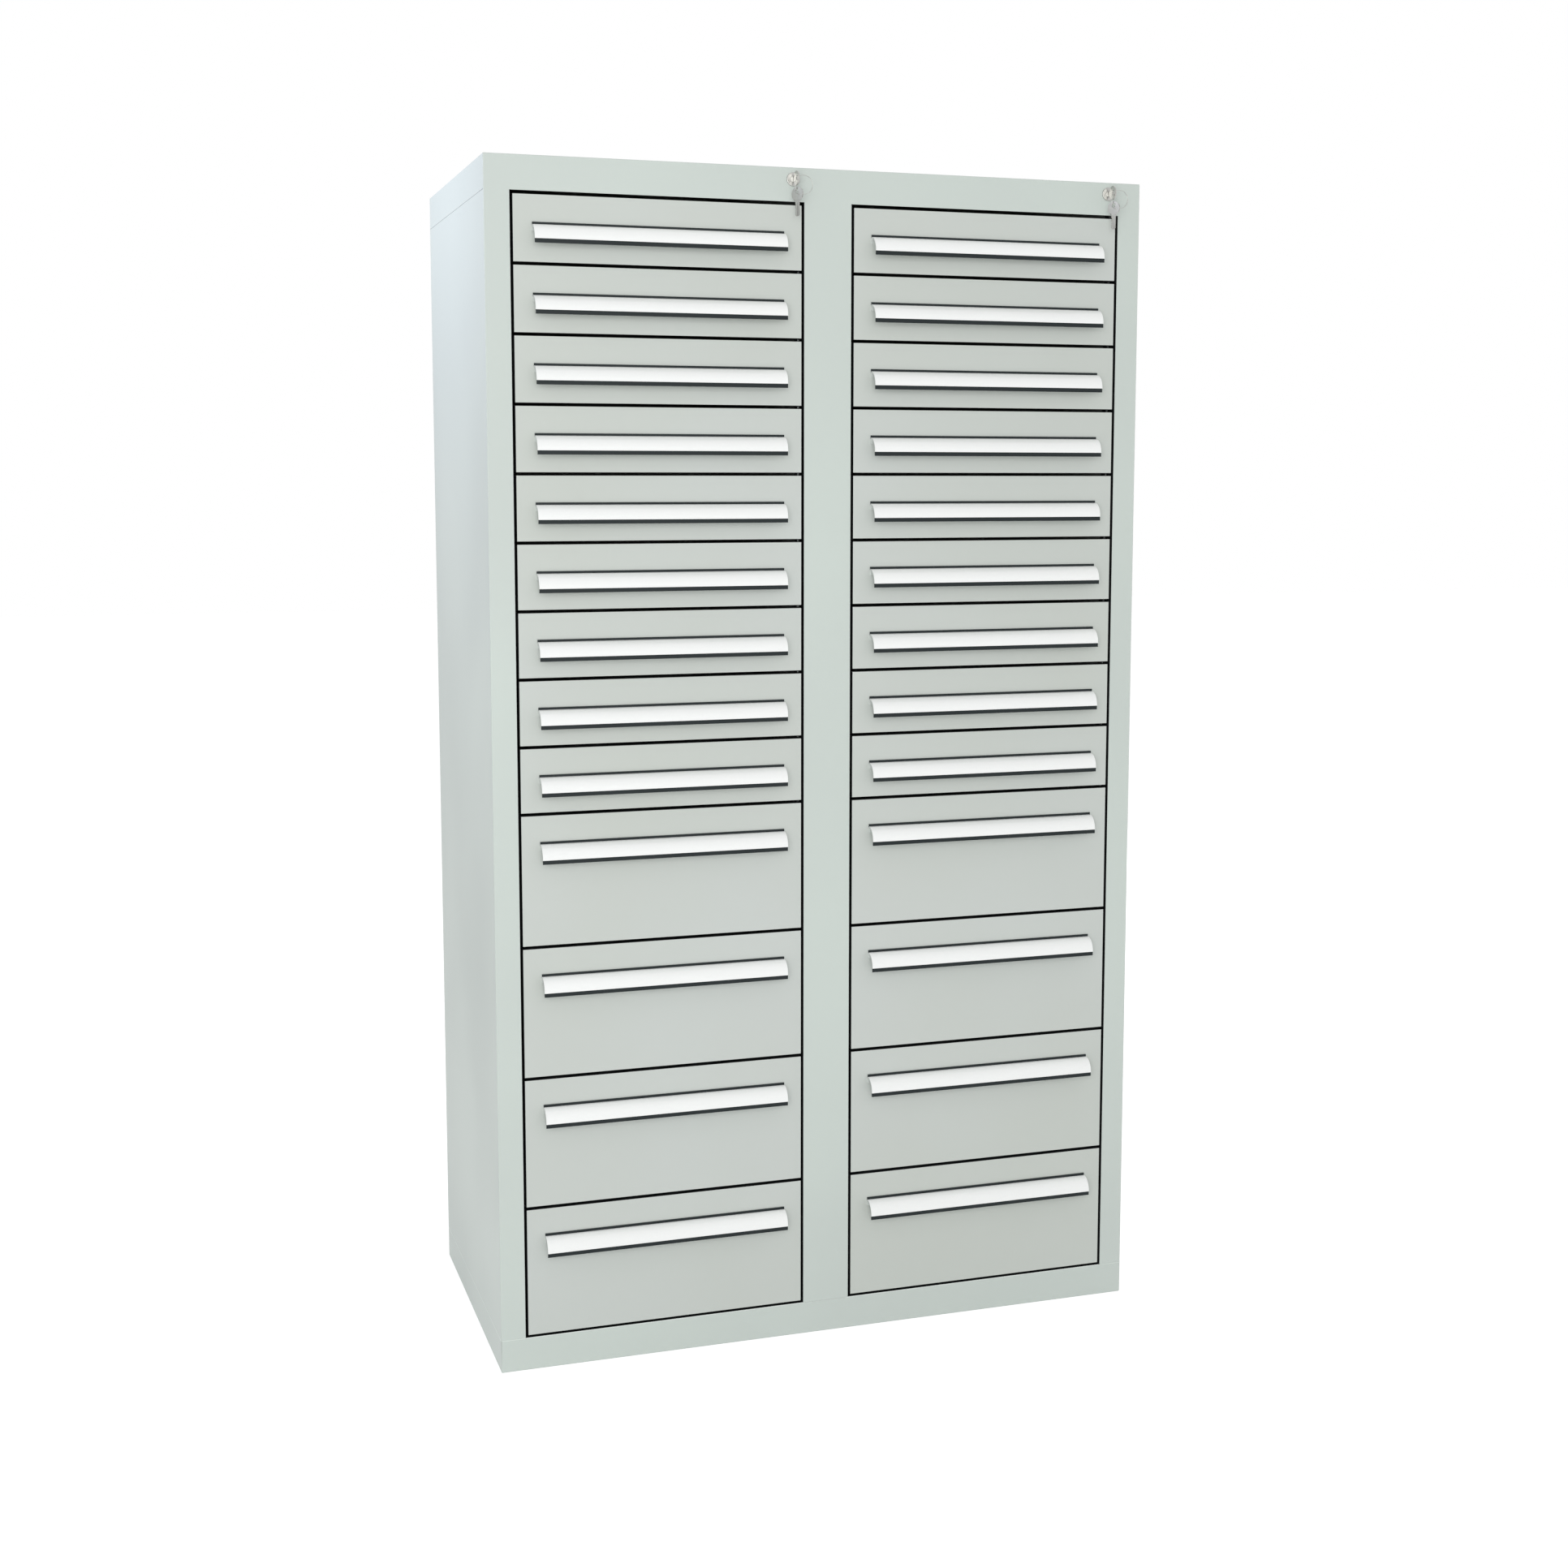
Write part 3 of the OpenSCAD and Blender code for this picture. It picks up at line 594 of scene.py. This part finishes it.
def side_panel(name, x, inwards):
    """One side of the carcass. inwards is +1 for the left side and -1 for the right."""
    panel = block(name, (x, FRONT, OPEN_BOTTOM), (x + inwards * STILE, BACK - SHEET, OPEN_TOP))
    open_up(panel, (0, 0, 1), (0, 0, -1), (0, -1, 0), (0, 1, 0), (inwards, 0, 0))
    with editing(panel):
        extrude_edge(panel, lambda e: middle(e).y < FRONT + HAIR, (inwards * STILE, 0, 0))
        extrude_edge(panel, lambda e: abs(middle(e).x - x - inwards * STILE) < HAIR, (0, RETURN, 0))
        extrude_edge(panel, lambda e: middle(e).y > BACK - SHEET - HAIR, (inwards * BACK_FLANGE, 0, 0))
    face_out(panel, (x + inwards * STILE / 2, 0, 1))
    round_folds(panel)
    thicken(panel)
    cut(panel, block("seam", (x - inwards * PAST, FRONT + FOLD, OPEN_TOP - SEAM),
                     (x + inwards * (SHEET + PAST), BACK - 2 * SHEET, OPEN_TOP + PAST)))
    smooth(panel)
    return panel


for bay, x, inwards in (("left", LEFT, 1), ("right", RIGHT, -1)):
    panel = side_panel(f"side_panel_{bay}_sheet", x, inwards)
    dress(panel, "carcass", [f"side_panel_{bay}"], "frame_paint", frame_coat)
    # The stile's return beside the gap gets the nearly black painted shade.
    paint_faces(panel, gap_shade_finish, lambda face: (
        is_folded_back(face) and abs(face.center.x - x) > STILE - 1.5 * SHEET))
    print(panel.name, size_of(panel), "mm,", len(panel.data.polygons), "faces")

# %% [markdown]
# ## Centre post
# The post between the columns is a channel, open at the back. It starts as a block of its full size that
# loses its back and its ends.

# %% Centre post
post = block("centre_post_channel", *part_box("centre_post"))
open_up(post, (0, 1, 0), (0, 0, 1), (0, 0, -1))
round_folds(post)
thicken(post)
smooth(post)
dress(post, "carcass", ["centre_post"], "frame_paint", frame_coat)
# The post's folded-back sheet beside the gaps gets the nearly black painted shade.
paint_faces(post, gap_shade_finish, is_folded_back)
print("centre post", size_of(post), "mm,", len(post.data.polygons), "faces")

# %% [markdown]
# ## Back panel
# The back is a flat sheet between the cap and the base, spot-welded to the flanges in front of it. A spot
# weld leaves a shallow round dimple, so one is pressed in every 110 mm or so along both sides.

# %% Back panel
WELD_RADIUS, WELD_DEPTH, WELD_PITCH = 3 * MM, 0.3 * MM, 110 * MM
WELD_INSET, WELD_END = 9 * MM, 40 * MM      # from the back's sides, and from its top and bottom
BACK_EDGE = 0.3 * MM


def weld_bowls(columns, low, high):
    """Flat bowls on the back's outer face, one below the other, joined as one cutting tool."""
    count = round((high - low) / WELD_PITCH)
    bowls = []
    for x in columns:
        for i in range(count + 1):
            bpy.ops.object.select_all(action="DESELECT")
            bpy.ops.mesh.primitive_uv_sphere_add(
                segments=20, ring_count=12, location=(x, BACK, low + i * (high - low) / count),
                scale=(WELD_RADIUS, WELD_DEPTH, WELD_RADIUS))
            bowls.append(named("bowl"))
    return join(bowls)


back = block("back_panel_sheet", *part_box("back_panel"))
cut(back, weld_bowls((LEFT + WELD_INSET, RIGHT - WELD_INSET), OPEN_BOTTOM + WELD_END, OPEN_TOP - WELD_END))
round_folds(back, BACK_EDGE, segments=2, test=lambda edge: (
    is_fold(edge) and all(abs(corner.co.y - BACK) < HAIR for corner in edge.verts)))
smooth(back)
dress(back, "carcass", ["back_panel"], "frame_paint", frame_coat)
print("back panel", size_of(back), "mm,", len(back.data.polygons), "faces")

# %% [markdown]
# ## Drawer front
# A front is a shallow pan of folded sheet, 18 mm deep, whose edges turn in again behind it. A block loses
# the middle of its back face: the face is inset by the lip's width, and the inner part is deleted. Low and
# high drawers differ only in height, so each piece is modelled once per height and then copied.

# %% Drawer front
PAN_DEPTH = 18 * MM
PAN_LIP = 14 * MM
FRONT_WIDTH = 471 * MM
low_drawer, high_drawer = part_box("drawer_left_01"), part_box("drawer_left_10")


def drawer_middle(box):
    """The X of a drawer's middle."""
    return (box[0].x + box[1].x) / 2


def front_pan(name, box):
    """The folded front of the drawer that has this box."""
    x = drawer_middle(box)
    pan = block(name, (x - FRONT_WIDTH / 2, FRONT, box[0].z),
                (x + FRONT_WIDTH / 2, FRONT + PAN_DEPTH, box[1].z))
    with editing(pan):
        pick(pan, "FACE", lambda face: face.normal.y > 0.9)
        bpy.ops.mesh.inset(thickness=PAN_LIP)
        bpy.ops.mesh.delete(type="FACE")
    round_folds(pan)
    thicken(pan)
    smooth(pan)
    pan.data.materials.append(drawer_coat)
    # The pan's folded-back edges beside the gaps get the nearly black painted shade.
    paint_faces(pan, gap_shade_finish, is_folded_back)
    return pan


# %% [markdown]
# ## Tray
# The tray behind the front is a plain folded box. Its rim is turned in by 2 mm, which makes the thin
# walls stiff and safe to touch, and leaves room for the spare key that hangs beside the top drawer's wall.
# The open top face is inset and its middle is deleted.

# %% Tray
TRAY_WIDTH = 452 * MM
TRAY_WALL = 1 * MM
TRAY_RIM = 2 * MM
TRAY_FRONT = FRONT + PAN_DEPTH + 0.1 * MM
TRAY_UNDER, TRAY_OVER = 6 * MM, 11 * MM


def tray(name, box):
    """The open box behind the front."""
    x = drawer_middle(box)
    piece = block(name, (x - TRAY_WIDTH / 2, TRAY_FRONT, box[0].z + TRAY_UNDER),
                  (x + TRAY_WIDTH / 2, box[1].y, box[1].z - TRAY_OVER))
    with editing(piece):
        pick(piece, "FACE", lambda face: face.normal.z > 0.9)
        bpy.ops.mesh.inset(thickness=TRAY_RIM)
        bpy.ops.mesh.delete(type="FACE")
    round_folds(piece, WIDE_FOLD, segments=2)
    thicken(piece, TRAY_WALL)
    smooth(piece)
    piece.data.materials.append(inner_coat)
    return piece


# %% [markdown]
# ## Grip profile
# The grip is one extruded length. Seen from its end, an upright rim stands on the drawer front, then the
# profile bends out and down over a quarter of an ellipse, and ends in a lip for the fingers. A circle
# that is scaled to the ellipse and cut down to its upper outer quarter gives the curve. Its two ends are
# extruded to the rim and the lip, the whole line is extruded along X, and Solidify makes the 2 mm wall.
# The flange that holds the grip on the front is extruded down from a strip cut off with a bisect.

# %% Grip profile
GRIP_LENGTH = 410 * MM
GRIP_DROP = 42.5 * MM
GRIP_HEIGHT = 33.5 * MM
GRIP_REACH = 22 * MM
GRIP_WALL = 2 * MM
RIM, LIP, FLANGE = 4 * MM, 6.5 * MM, 14 * MM
GRIP_EDGE = 0.25 * MM
FACE_HEIGHT = GRIP_HEIGHT - RIM - LIP
FACE_REACH = GRIP_REACH - GRIP_WALL
LABEL_GAP, LABEL_WALL = 0.1 * MM, 0.3 * MM
LABEL_START = 2                         # degrees out from the rim


def quarter_ellipse(name, x, top, grow, first, sides):
    """The upper outer quarter of the grip's ellipse, from an angle in degrees, as a line of edges."""
    bpy.ops.object.select_all(action="DESELECT")
    bpy.ops.mesh.primitive_circle_add(
        vertices=sides, radius=1, fill_type="NOTHING", rotation=(0, math.radians(90), 0),
        location=(x, FRONT - GRIP_WALL, top - RIM - FACE_HEIGHT))
    piece = bpy.context.object
    piece.scale = (FACE_HEIGHT + grow, FACE_REACH + grow, 1)
    piece = named(name)
    edge_y = FRONT - GRIP_WALL - (FACE_REACH + grow) * math.sin(math.radians(first)) + HAIR
    with editing(piece):
        pick(piece, "VERT", lambda v: v.co.y > edge_y or v.co.z < top - RIM - FACE_HEIGHT - HAIR)
        bpy.ops.mesh.delete(type="VERT")
    return piece


def extrude_line(piece, x):
    """Extrudes a line of edges along X over the grip's length."""
    with editing(piece):
        bpy.ops.mesh.select_mode(type="EDGE")
        bpy.ops.mesh.select_all(action="SELECT")
        bpy.ops.mesh.extrude_edges_move(TRANSFORM_OT_translate={"value": (GRIP_LENGTH, 0, 0)})
    face_out(piece, (x, FRONT, piece.data.vertices[0].co.z - FACE_HEIGHT))


def grip(name, box):
    """The grip profile of the drawer that has this box."""
    x, top = drawer_middle(box) - GRIP_LENGTH / 2, box[1].z - GRIP_DROP
    piece = quarter_ellipse(name, x, top, grow=0, first=0, sides=72)
    with editing(piece):
        for test, shift in ((lambda v: v.co.z > top - RIM - HAIR, (0, 0, RIM)),
                            (lambda v: v.co.y < FRONT - GRIP_REACH + HAIR, (0, 0, -LIP))):
            pick(piece, "VERT", test)
            bpy.ops.mesh.extrude_vertices_move(TRANSFORM_OT_translate={"value": shift})
    extrude_line(piece, x + GRIP_LENGTH / 2)
    thicken(piece, GRIP_WALL)
    with editing(piece):
        bpy.ops.mesh.select_all(action="SELECT")
        bpy.ops.mesh.bisect(plane_co=(0, FRONT - GRIP_WALL, 0), plane_no=(0, 1, 0))
        pick(piece, "FACE", lambda face: (
            face.normal.z < -0.9 and face.calc_center_median().y > FRONT - GRIP_WALL))
        bpy.ops.mesh.extrude_region_move(
            TRANSFORM_OT_translate={"value": (0, 0, -(FLANGE - RIM - GRIP_WALL))})
    round_folds(piece, GRIP_EDGE, segments=2, test=lambda edge: (
        is_fold(edge) and middle(edge).y < FRONT - HAIR and middle(edge).z > top - GRIP_HEIGHT - HAIR))
    smooth(piece)
    piece.data.materials.append(pale_abs)
    # Rim, lip and flange get the near-black: anthracite plastic, and on the rim also painted shade.
    paint_faces(piece, anthracite_and_rim_shade_abs, lambda face: not (
        top - RIM - FACE_HEIGHT < face.center.z < top - RIM + HAIR))
    return piece


# %% [markdown]
# ## Label
# The label lies on the grip's curved wall. It is the same quarter ellipse, grown by the gap and by its own
# thickness, so that it follows the curve. It starts two degrees out from the rim, because right beside the
# rim the grown ellipse would cut into it.

# %% Label
def label(name, box):
    """The label on the grip's convex face."""
    x, top = drawer_middle(box) - GRIP_LENGTH / 2, box[1].z - GRIP_DROP
    piece = quarter_ellipse(name, x, top, grow=LABEL_GAP + LABEL_WALL, first=LABEL_START, sides=180)
    extrude_line(piece, x + GRIP_LENGTH / 2)
    thicken(piece, LABEL_WALL)
    smooth(piece)
    piece.data.materials.append(label_card)
    return piece


# %% [markdown]
# ## Rails, glides and catch
# A drawer slides on two rails of folded steel, each with a nylon glide at its back end, and the catch on
# the right is what the lock bar's tab blocks. A rail is a block that is left open towards the bay wall.

# %% Rails, glides and catch
RAIL_SIDES = (3.4 * MM, 12.9 * MM)      # from the bay wall
RAIL_HEIGHT = 27 * MM
RAIL_RISE = 34 * MM                     # from the drawer's bottom to the rail's middle
RAIL_FRONT = TRAY_FRONT + TRAY_WALL
GLIDE_LENGTH = 20 * MM
GLIDE_SIDES = (4 * MM, 9 * MM)          # from the bay wall
GLIDE_RISES = (0.1 * MM, 1 * MM)        # from the rail's top
GLIDE_EDGE = 0.3 * MM
CATCH_Y = -237.9 * MM
CATCH_LENGTH = 20 * MM
CATCH_FOOT = 1.5 * MM                   # the length of the part that stands out
CATCH_DROPS = (31.5 * MM, 19.48 * MM)   # from the drawer's top to the catch's ends
BAY_WIDTH = 478 * MM


def runner_parts(name, box):
    """Both rails with their glides, and the catch, as one piece with two finishes."""
    parts = []
    for side in (-1, 1):
        wall = drawer_middle(box) + side * BAY_WIDTH / 2
        near, far = wall - side * RAIL_SIDES[0], wall - side * RAIL_SIDES[1]
        z = box[0].z + RAIL_RISE
        rail = block("rail", (near, RAIL_FRONT, z - RAIL_HEIGHT / 2), (far, box[1].y, z + RAIL_HEIGHT / 2))
        open_up(rail, (side, 0, 0), (0, 1, 0), (0, -1, 0))
        round_folds(rail, WIDE_FOLD, segments=2)
        thicken(rail)
        rail.data.materials.append(zinc)
        glide_z = [z + RAIL_HEIGHT / 2 + rise for rise in GLIDE_RISES]
        glide = block("glide", (wall - side * GLIDE_SIDES[0], box[1].y - GLIDE_LENGTH, glide_z[0]),
                      (wall - side * GLIDE_SIDES[1], box[1].y, glide_z[1]))
        round_folds(glide, GLIDE_EDGE, segments=2)
        glide.data.materials.append(nylon)
        parts += [rail, glide]
    z0, z1 = box[1].z - CATCH_DROPS[0], box[1].z - CATCH_DROPS[1]
    foot = block("catch", (far, CATCH_Y, z0), (far + SHEET, CATCH_Y + CATCH_LENGTH, z1))
    with editing(foot):
        bpy.ops.mesh.select_all(action="SELECT")
        bpy.ops.mesh.bisect(plane_co=(0, CATCH_Y + CATCH_FOOT, 0), plane_no=(0, 1, 0))
        pick(foot, "FACE", lambda face: (
            face.normal.x > 0.9 and face.calc_center_median().y < CATCH_Y + CATCH_FOOT))
        bpy.ops.mesh.extrude_region_move(TRANSFORM_OT_translate={"value": (near - far - SHEET, 0, 0)})
    foot.data.materials.append(zinc)
    piece = join(parts + [foot])
    piece.name = piece.data.name = name
    smooth(piece)
    return piece


# %% [markdown]
# ## One pattern for each height
# Modelling all 26 drawers one by one would take long and let them differ. So the five pieces are modelled
# on the first low drawer and on the first high one, and serve as patterns that are copied.

# %% Model each drawer piece once for each height
PARTS = {"front": (front_pan, "drawer_paint"), "tray": (tray, "drawer_paint"),
         "grip": (grip, "grip_plastic"), "label": (label, "label_card"),
         "runners": (runner_parts, "zinc_steel")}
patterns = {}
for height, box in (("low", low_drawer), ("high", high_drawer)):
    for part, (make, _) in PARTS.items():
        piece = patterns[height, part] = make(f"{height}_{part}", box)
        print(height, part, size_of(piece), "mm,", len(piece.data.polygons), "faces")

# %% [markdown]
# ## Twenty-six drawers
# Each drawer gets its own copy of the five pieces, moved to the drawer's box. A copy has its own mesh, and
# its place is in the mesh, as on a CAD node.

# %% Copy the drawers into place
def copy_of(piece, name, matrix):
    """A copy of the piece with its own mesh, moved by the matrix."""
    copy = piece.copy()
    copy.data = piece.data.copy()
    copy.name = copy.data.name = name
    copy.data.transform(matrix)
    bpy.context.scene.collection.objects.link(copy)
    return copy


for bay in BAYS:
    for row in range(1, ROWS + 1):
        node = f"drawer_{bay}_{row:02d}"
        height, start = ("low", low_drawer) if row < 10 else ("high", high_drawer)
        shift = Matrix.Translation(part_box(node)[0] - start[0])
        for part, (_, slot) in PARTS.items():
            dress(copy_of(patterns[height, part], f"{node}_{part}", shift), node, [node], slot)
for pattern in patterns.values():
    bpy.data.objects.remove(pattern)
print(len(BAYS) * ROWS * len(PARTS), "drawer pieces")

# %% [markdown]
# ## Lock housing and plug
# The housing is turned from one bar: a flange that lies on the cap's band and a barrel behind it. The
# front rim is rounded, the back face is inset to the barrel's diameter and extruded, and the bore for the
# plug is cut through. The plug turns in that bore, and its keyway is a narrow slot.

# %% Lock housings and plugs
FLANGE_RADIUS, BARREL_RADIUS, PLUG_RADIUS = 11 * MM, 8 * MM, 5.5 * MM
FLANGE_EDGE, PLUG_EDGE, PLUG_PLAY = 0.9 * MM, 0.3 * MM, 0.2 * MM
KEYWAY_HALF, KEYWAY_RISE, KEYWAY_DEPTH = 1.1 * MM, 4 * MM, 20.2 * MM


def lock_housing(name, box):
    """The flange and barrel of a lock."""
    x, z = (box[0].x + box[1].x) / 2, (box[0].z + box[1].z) / 2
    piece = disc(name, (x, 0, z), FLANGE_RADIUS, box[0].y, FRONT)
    with editing(piece):
        pick(piece, "FACE", lambda face: face.normal.y > 0.9)
        bpy.ops.mesh.inset(thickness=FLANGE_RADIUS - BARREL_RADIUS)
        bpy.ops.mesh.extrude_region_move(TRANSFORM_OT_translate={"value": (0, box[1].y - FRONT, 0)})
    round_folds(piece, FLANGE_EDGE, test=lambda e: is_fold(e) and middle(e).y < box[0].y + HAIR)
    cut(piece, disc("bore", (x, 0, z), PLUG_RADIUS + PLUG_PLAY, box[0].y - PAST, box[1].y + PAST))
    smooth(piece)
    return piece


def lock_plug(name, box):
    """The plug that the key turns."""
    x, z = (box[0].x + box[1].x) / 2, (box[0].z + box[1].z) / 2
    piece = disc(name, (x, 0, z), PLUG_RADIUS, box[0].y, box[1].y)
    round_folds(piece, PLUG_EDGE, segments=2, test=lambda e: is_fold(e) and middle(e).y < box[0].y + HAIR)
    cut(piece, block("keyway", (x - KEYWAY_HALF, box[0].y - PAST, z - KEYWAY_RISE),
                     (x + KEYWAY_HALF, box[0].y + KEYWAY_DEPTH, z + KEYWAY_RISE)))
    smooth(piece)
    return piece


for bay in BAYS:
    housing = lock_housing(f"lock_housing_{bay}_turned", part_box(f"lock_housing_{bay}"))
    dress(housing, "carcass", [f"lock_housing_{bay}"], "nickel", nickel)
    plug = lock_plug(f"lock_plug_{bay}_slotted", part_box(f"lock_plug_{bay}"))
    dress(plug, f"cam_lock_{bay}", [f"lock_plug_{bay}"], "nickel", nickel)
    print(housing.name, size_of(housing), "mm;", plug.name, size_of(plug), "mm")

# %% [markdown]
# ## Keys
# A key is stamped from 1.8 mm steel: a round bow with a hole for the ring, and a blade. The bow is a flat
# disc and the blade a block that is extruded to a narrower tip. A shallow groove along the blade and five
# notches in its edge are what the lock's pins feel. One key is modelled round the origin, where its sizes
# are easy to write, and all four are copies of it.

# %% Key
BOW_RADIUS = 11.5 * MM
KEY_HALF = 0.9 * MM
BLADE_HALF = 3.8 * MM
BLADE_LENGTH, BLADE_ROOT = 23 * MM, 3 * MM      # the root is the part that lies in the bow
TIP_LENGTH, TIP_SHARE = 2 * MM, 0.47            # the tip narrows to this share of the blade's height
HOLE_RADIUS, HOLE_OFFSET = 3.75 * MM, 4.5 * MM
NOTCH_DEPTHS = (1.2 * MM, 0.5 * MM, 1.5 * MM, 0.9 * MM, 0.4 * MM)
NOTCH_START, NOTCH_PITCH, NOTCH_HALF = 6.5 * MM, 3 * MM, 0.8 * MM
NOTCH_TOP, NOTCH_FLARE = 5 * MM, 2.2            # the cutting tool's top, and how much wider it is there
GROOVE_START, GROOVE_BOTTOM, GROOVE_TOP = 2 * MM, -1.4 * MM, -0.2 * MM
WEB_HALF = 0.5 * MM                             # half of the steel that is left between the grooves
KEY_EDGE = 0.18 * MM


def make_key(name):
    """A key with its bow's centre at the origin and its blade towards +Y."""
    bow = disc(name, (0, 0, 0), BOW_RADIUS, -KEY_HALF, KEY_HALF, axis="X")
    root, tip = BOW_RADIUS - BLADE_ROOT, BOW_RADIUS + BLADE_LENGTH
    blade = block("blade", (-KEY_HALF, root, -BLADE_HALF), (KEY_HALF, tip - TIP_LENGTH, BLADE_HALF))
    with editing(blade):
        pick(blade, "FACE", lambda face: face.normal.y > 0.9)
        bpy.ops.mesh.extrude_region_move(TRANSFORM_OT_translate={"value": (0, TIP_LENGTH, 0)})
        bpy.ops.transform.resize(value=(1, 1, TIP_SHARE))
    apply_modifier(bow, "BOOLEAN", operation="UNION", object=blade, solver="EXACT")
    bpy.data.objects.remove(blade)
    cut(bow, disc("hole", (0, -HOLE_OFFSET, 0), HOLE_RADIUS, -KEY_HALF - PAST, KEY_HALF + PAST,
                  sides=48, axis="X"))
    outside = KEY_HALF + PAST
    for i, depth in enumerate(NOTCH_DEPTHS):
        y = BOW_RADIUS + NOTCH_START + i * NOTCH_PITCH
        notch = block("notch", (-outside, y - NOTCH_HALF, BLADE_HALF - depth),
                      (outside, y + NOTCH_HALF, NOTCH_TOP))
        with editing(notch):
            pick(notch, "FACE", lambda face: face.normal.z > 0.9)
            bpy.ops.transform.resize(value=(1, NOTCH_FLARE, 1))
        cut(bow, notch)
    for side in (-1, 1):
        cut(bow, block("groove", (side * WEB_HALF, BOW_RADIUS + GROOVE_START, GROOVE_BOTTOM),
                       (side * outside, tip + PAST, GROOVE_TOP)))
    apply_modifier(bow, "BEVEL", width=KEY_EDGE, segments=2, limit_method="ANGLE",
                   angle_limit=math.radians(50))
    smooth(bow)
    return bow


key = make_key("key")
print("key", size_of(key), "mm,", len(key.data.polygons), "faces")

# %% [markdown]
# ## Keys in the locks, and spare keys
# One key stands in each lock and turns with its plug. The spare key hangs from the ring by the hole in its
# bow, so its hole is brought to the ring and its blade is turned down. It hangs 30 degrees aside, as a key
# on a ring does. A copy is placed by one matrix, whose last factor acts first.

# %% Keys in the locks, and spare keys
bow_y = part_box("key_left")[0].y + BOW_RADIUS
SPARE_TURN = 30
for bay in BAYS:
    x = (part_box(f"key_{bay}")[0].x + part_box(f"key_{bay}")[1].x) / 2
    z = (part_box(f"key_{bay}")[0].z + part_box(f"key_{bay}")[1].z) / 2
    in_lock = copy_of(key, f"key_{bay}_cut", Matrix.Translation((x, bow_y, z)))
    dress(in_lock, f"cam_lock_{bay}", [f"key_{bay}"], "nickel", nickel)
    hang = (Matrix.Translation((x, bow_y - HOLE_OFFSET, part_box(f"spare_key_{bay}")[1].z))
            @ Matrix.Rotation(math.radians(SPARE_TURN), 4, "Z") @ Matrix.Rotation(math.radians(-90), 4, "X")
            @ Matrix.Translation((0, BOW_RADIUS, 0)))
    spare = copy_of(key, f"spare_key_{bay}_cut", hang)
    dress(spare, f"spare_key_{bay}", [f"spare_key_{bay}"], "nickel", nickel)
bpy.data.objects.remove(key)

# %% [markdown]
# ## Key ring
# A split ring is two turns of hard wire that lie against each other. A small circle is the wire's section,
# and the Screw modifier winds it nearly twice round, with one wire's thickness of rise for each turn. The
# open ends are filled.

# %% Key rings
RING_RADIUS = 15 * MM
WIRE = 0.65 * MM
TURNS = 1.94


def split_ring(name, centre):
    """Two turns of wire round a centre, in the plane that faces the front."""
    bpy.ops.object.select_all(action="DESELECT")
    bpy.ops.mesh.primitive_circle_add(vertices=10, radius=WIRE / 2, fill_type="NOTHING",
                                      location=(RING_RADIUS, 0, 0))
    piece = named(name)
    apply_modifier(piece, "SCREW", axis="Y", angle=2 * math.pi * TURNS, screw_offset=WIRE * TURNS,
                   steps=112, render_steps=112, use_merge_vertices=False)
    with editing(piece):
        pick(piece, "EDGE", lambda edge: edge.is_boundary)
        bpy.ops.mesh.edge_face_add()
        bpy.ops.mesh.select_all(action="SELECT")
        bpy.ops.mesh.normals_make_consistent(inside=False)
    piece.data.transform(Matrix.Translation(Vector(centre) - Vector((0, WIRE * TURNS / 2, 0))))
    smooth(piece, degrees=60)
    return piece


for bay in BAYS:
    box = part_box(f"key_ring_{bay}")
    ring = split_ring(f"key_ring_{bay}_wound", (box[0] + box[1]) / 2)
    dress(ring, f"key_ring_{bay}", [f"key_ring_{bay}"], "nickel", nickel)
    print(ring.name, size_of(ring), "mm,", len(ring.data.polygons), "faces")

# %% [markdown]
# ## Parts behind the fronts
# The bay walls, runners, lock bars and their small parts are plain bent or cut steel, and their CAD shapes
# are right as they are. They only get their finishes: paint for the bay walls, the nearly black painted
# shade of the gaps for the bottom deck, which shows only in the gap under the lowest drawers, nylon for
# the glides and zinc for all the rest.

# %% Finishes of the CAD parts that stay
for node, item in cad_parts.items():
    if item.hide_render:
        continue
    if node.startswith("bay_wall"):
        finish = inner_coat
    elif node == "bottom_deck":
        # The bottom deck gets the nearly black painted shade of the gap under the lowest drawers.
        finish = gap_shade_finish
    elif node == "runner_glides":
        finish = nylon
    else:
        finish = zinc
    item.data.materials.clear()
    item.data.materials.append(finish)
    print(node, "->", finish.name)
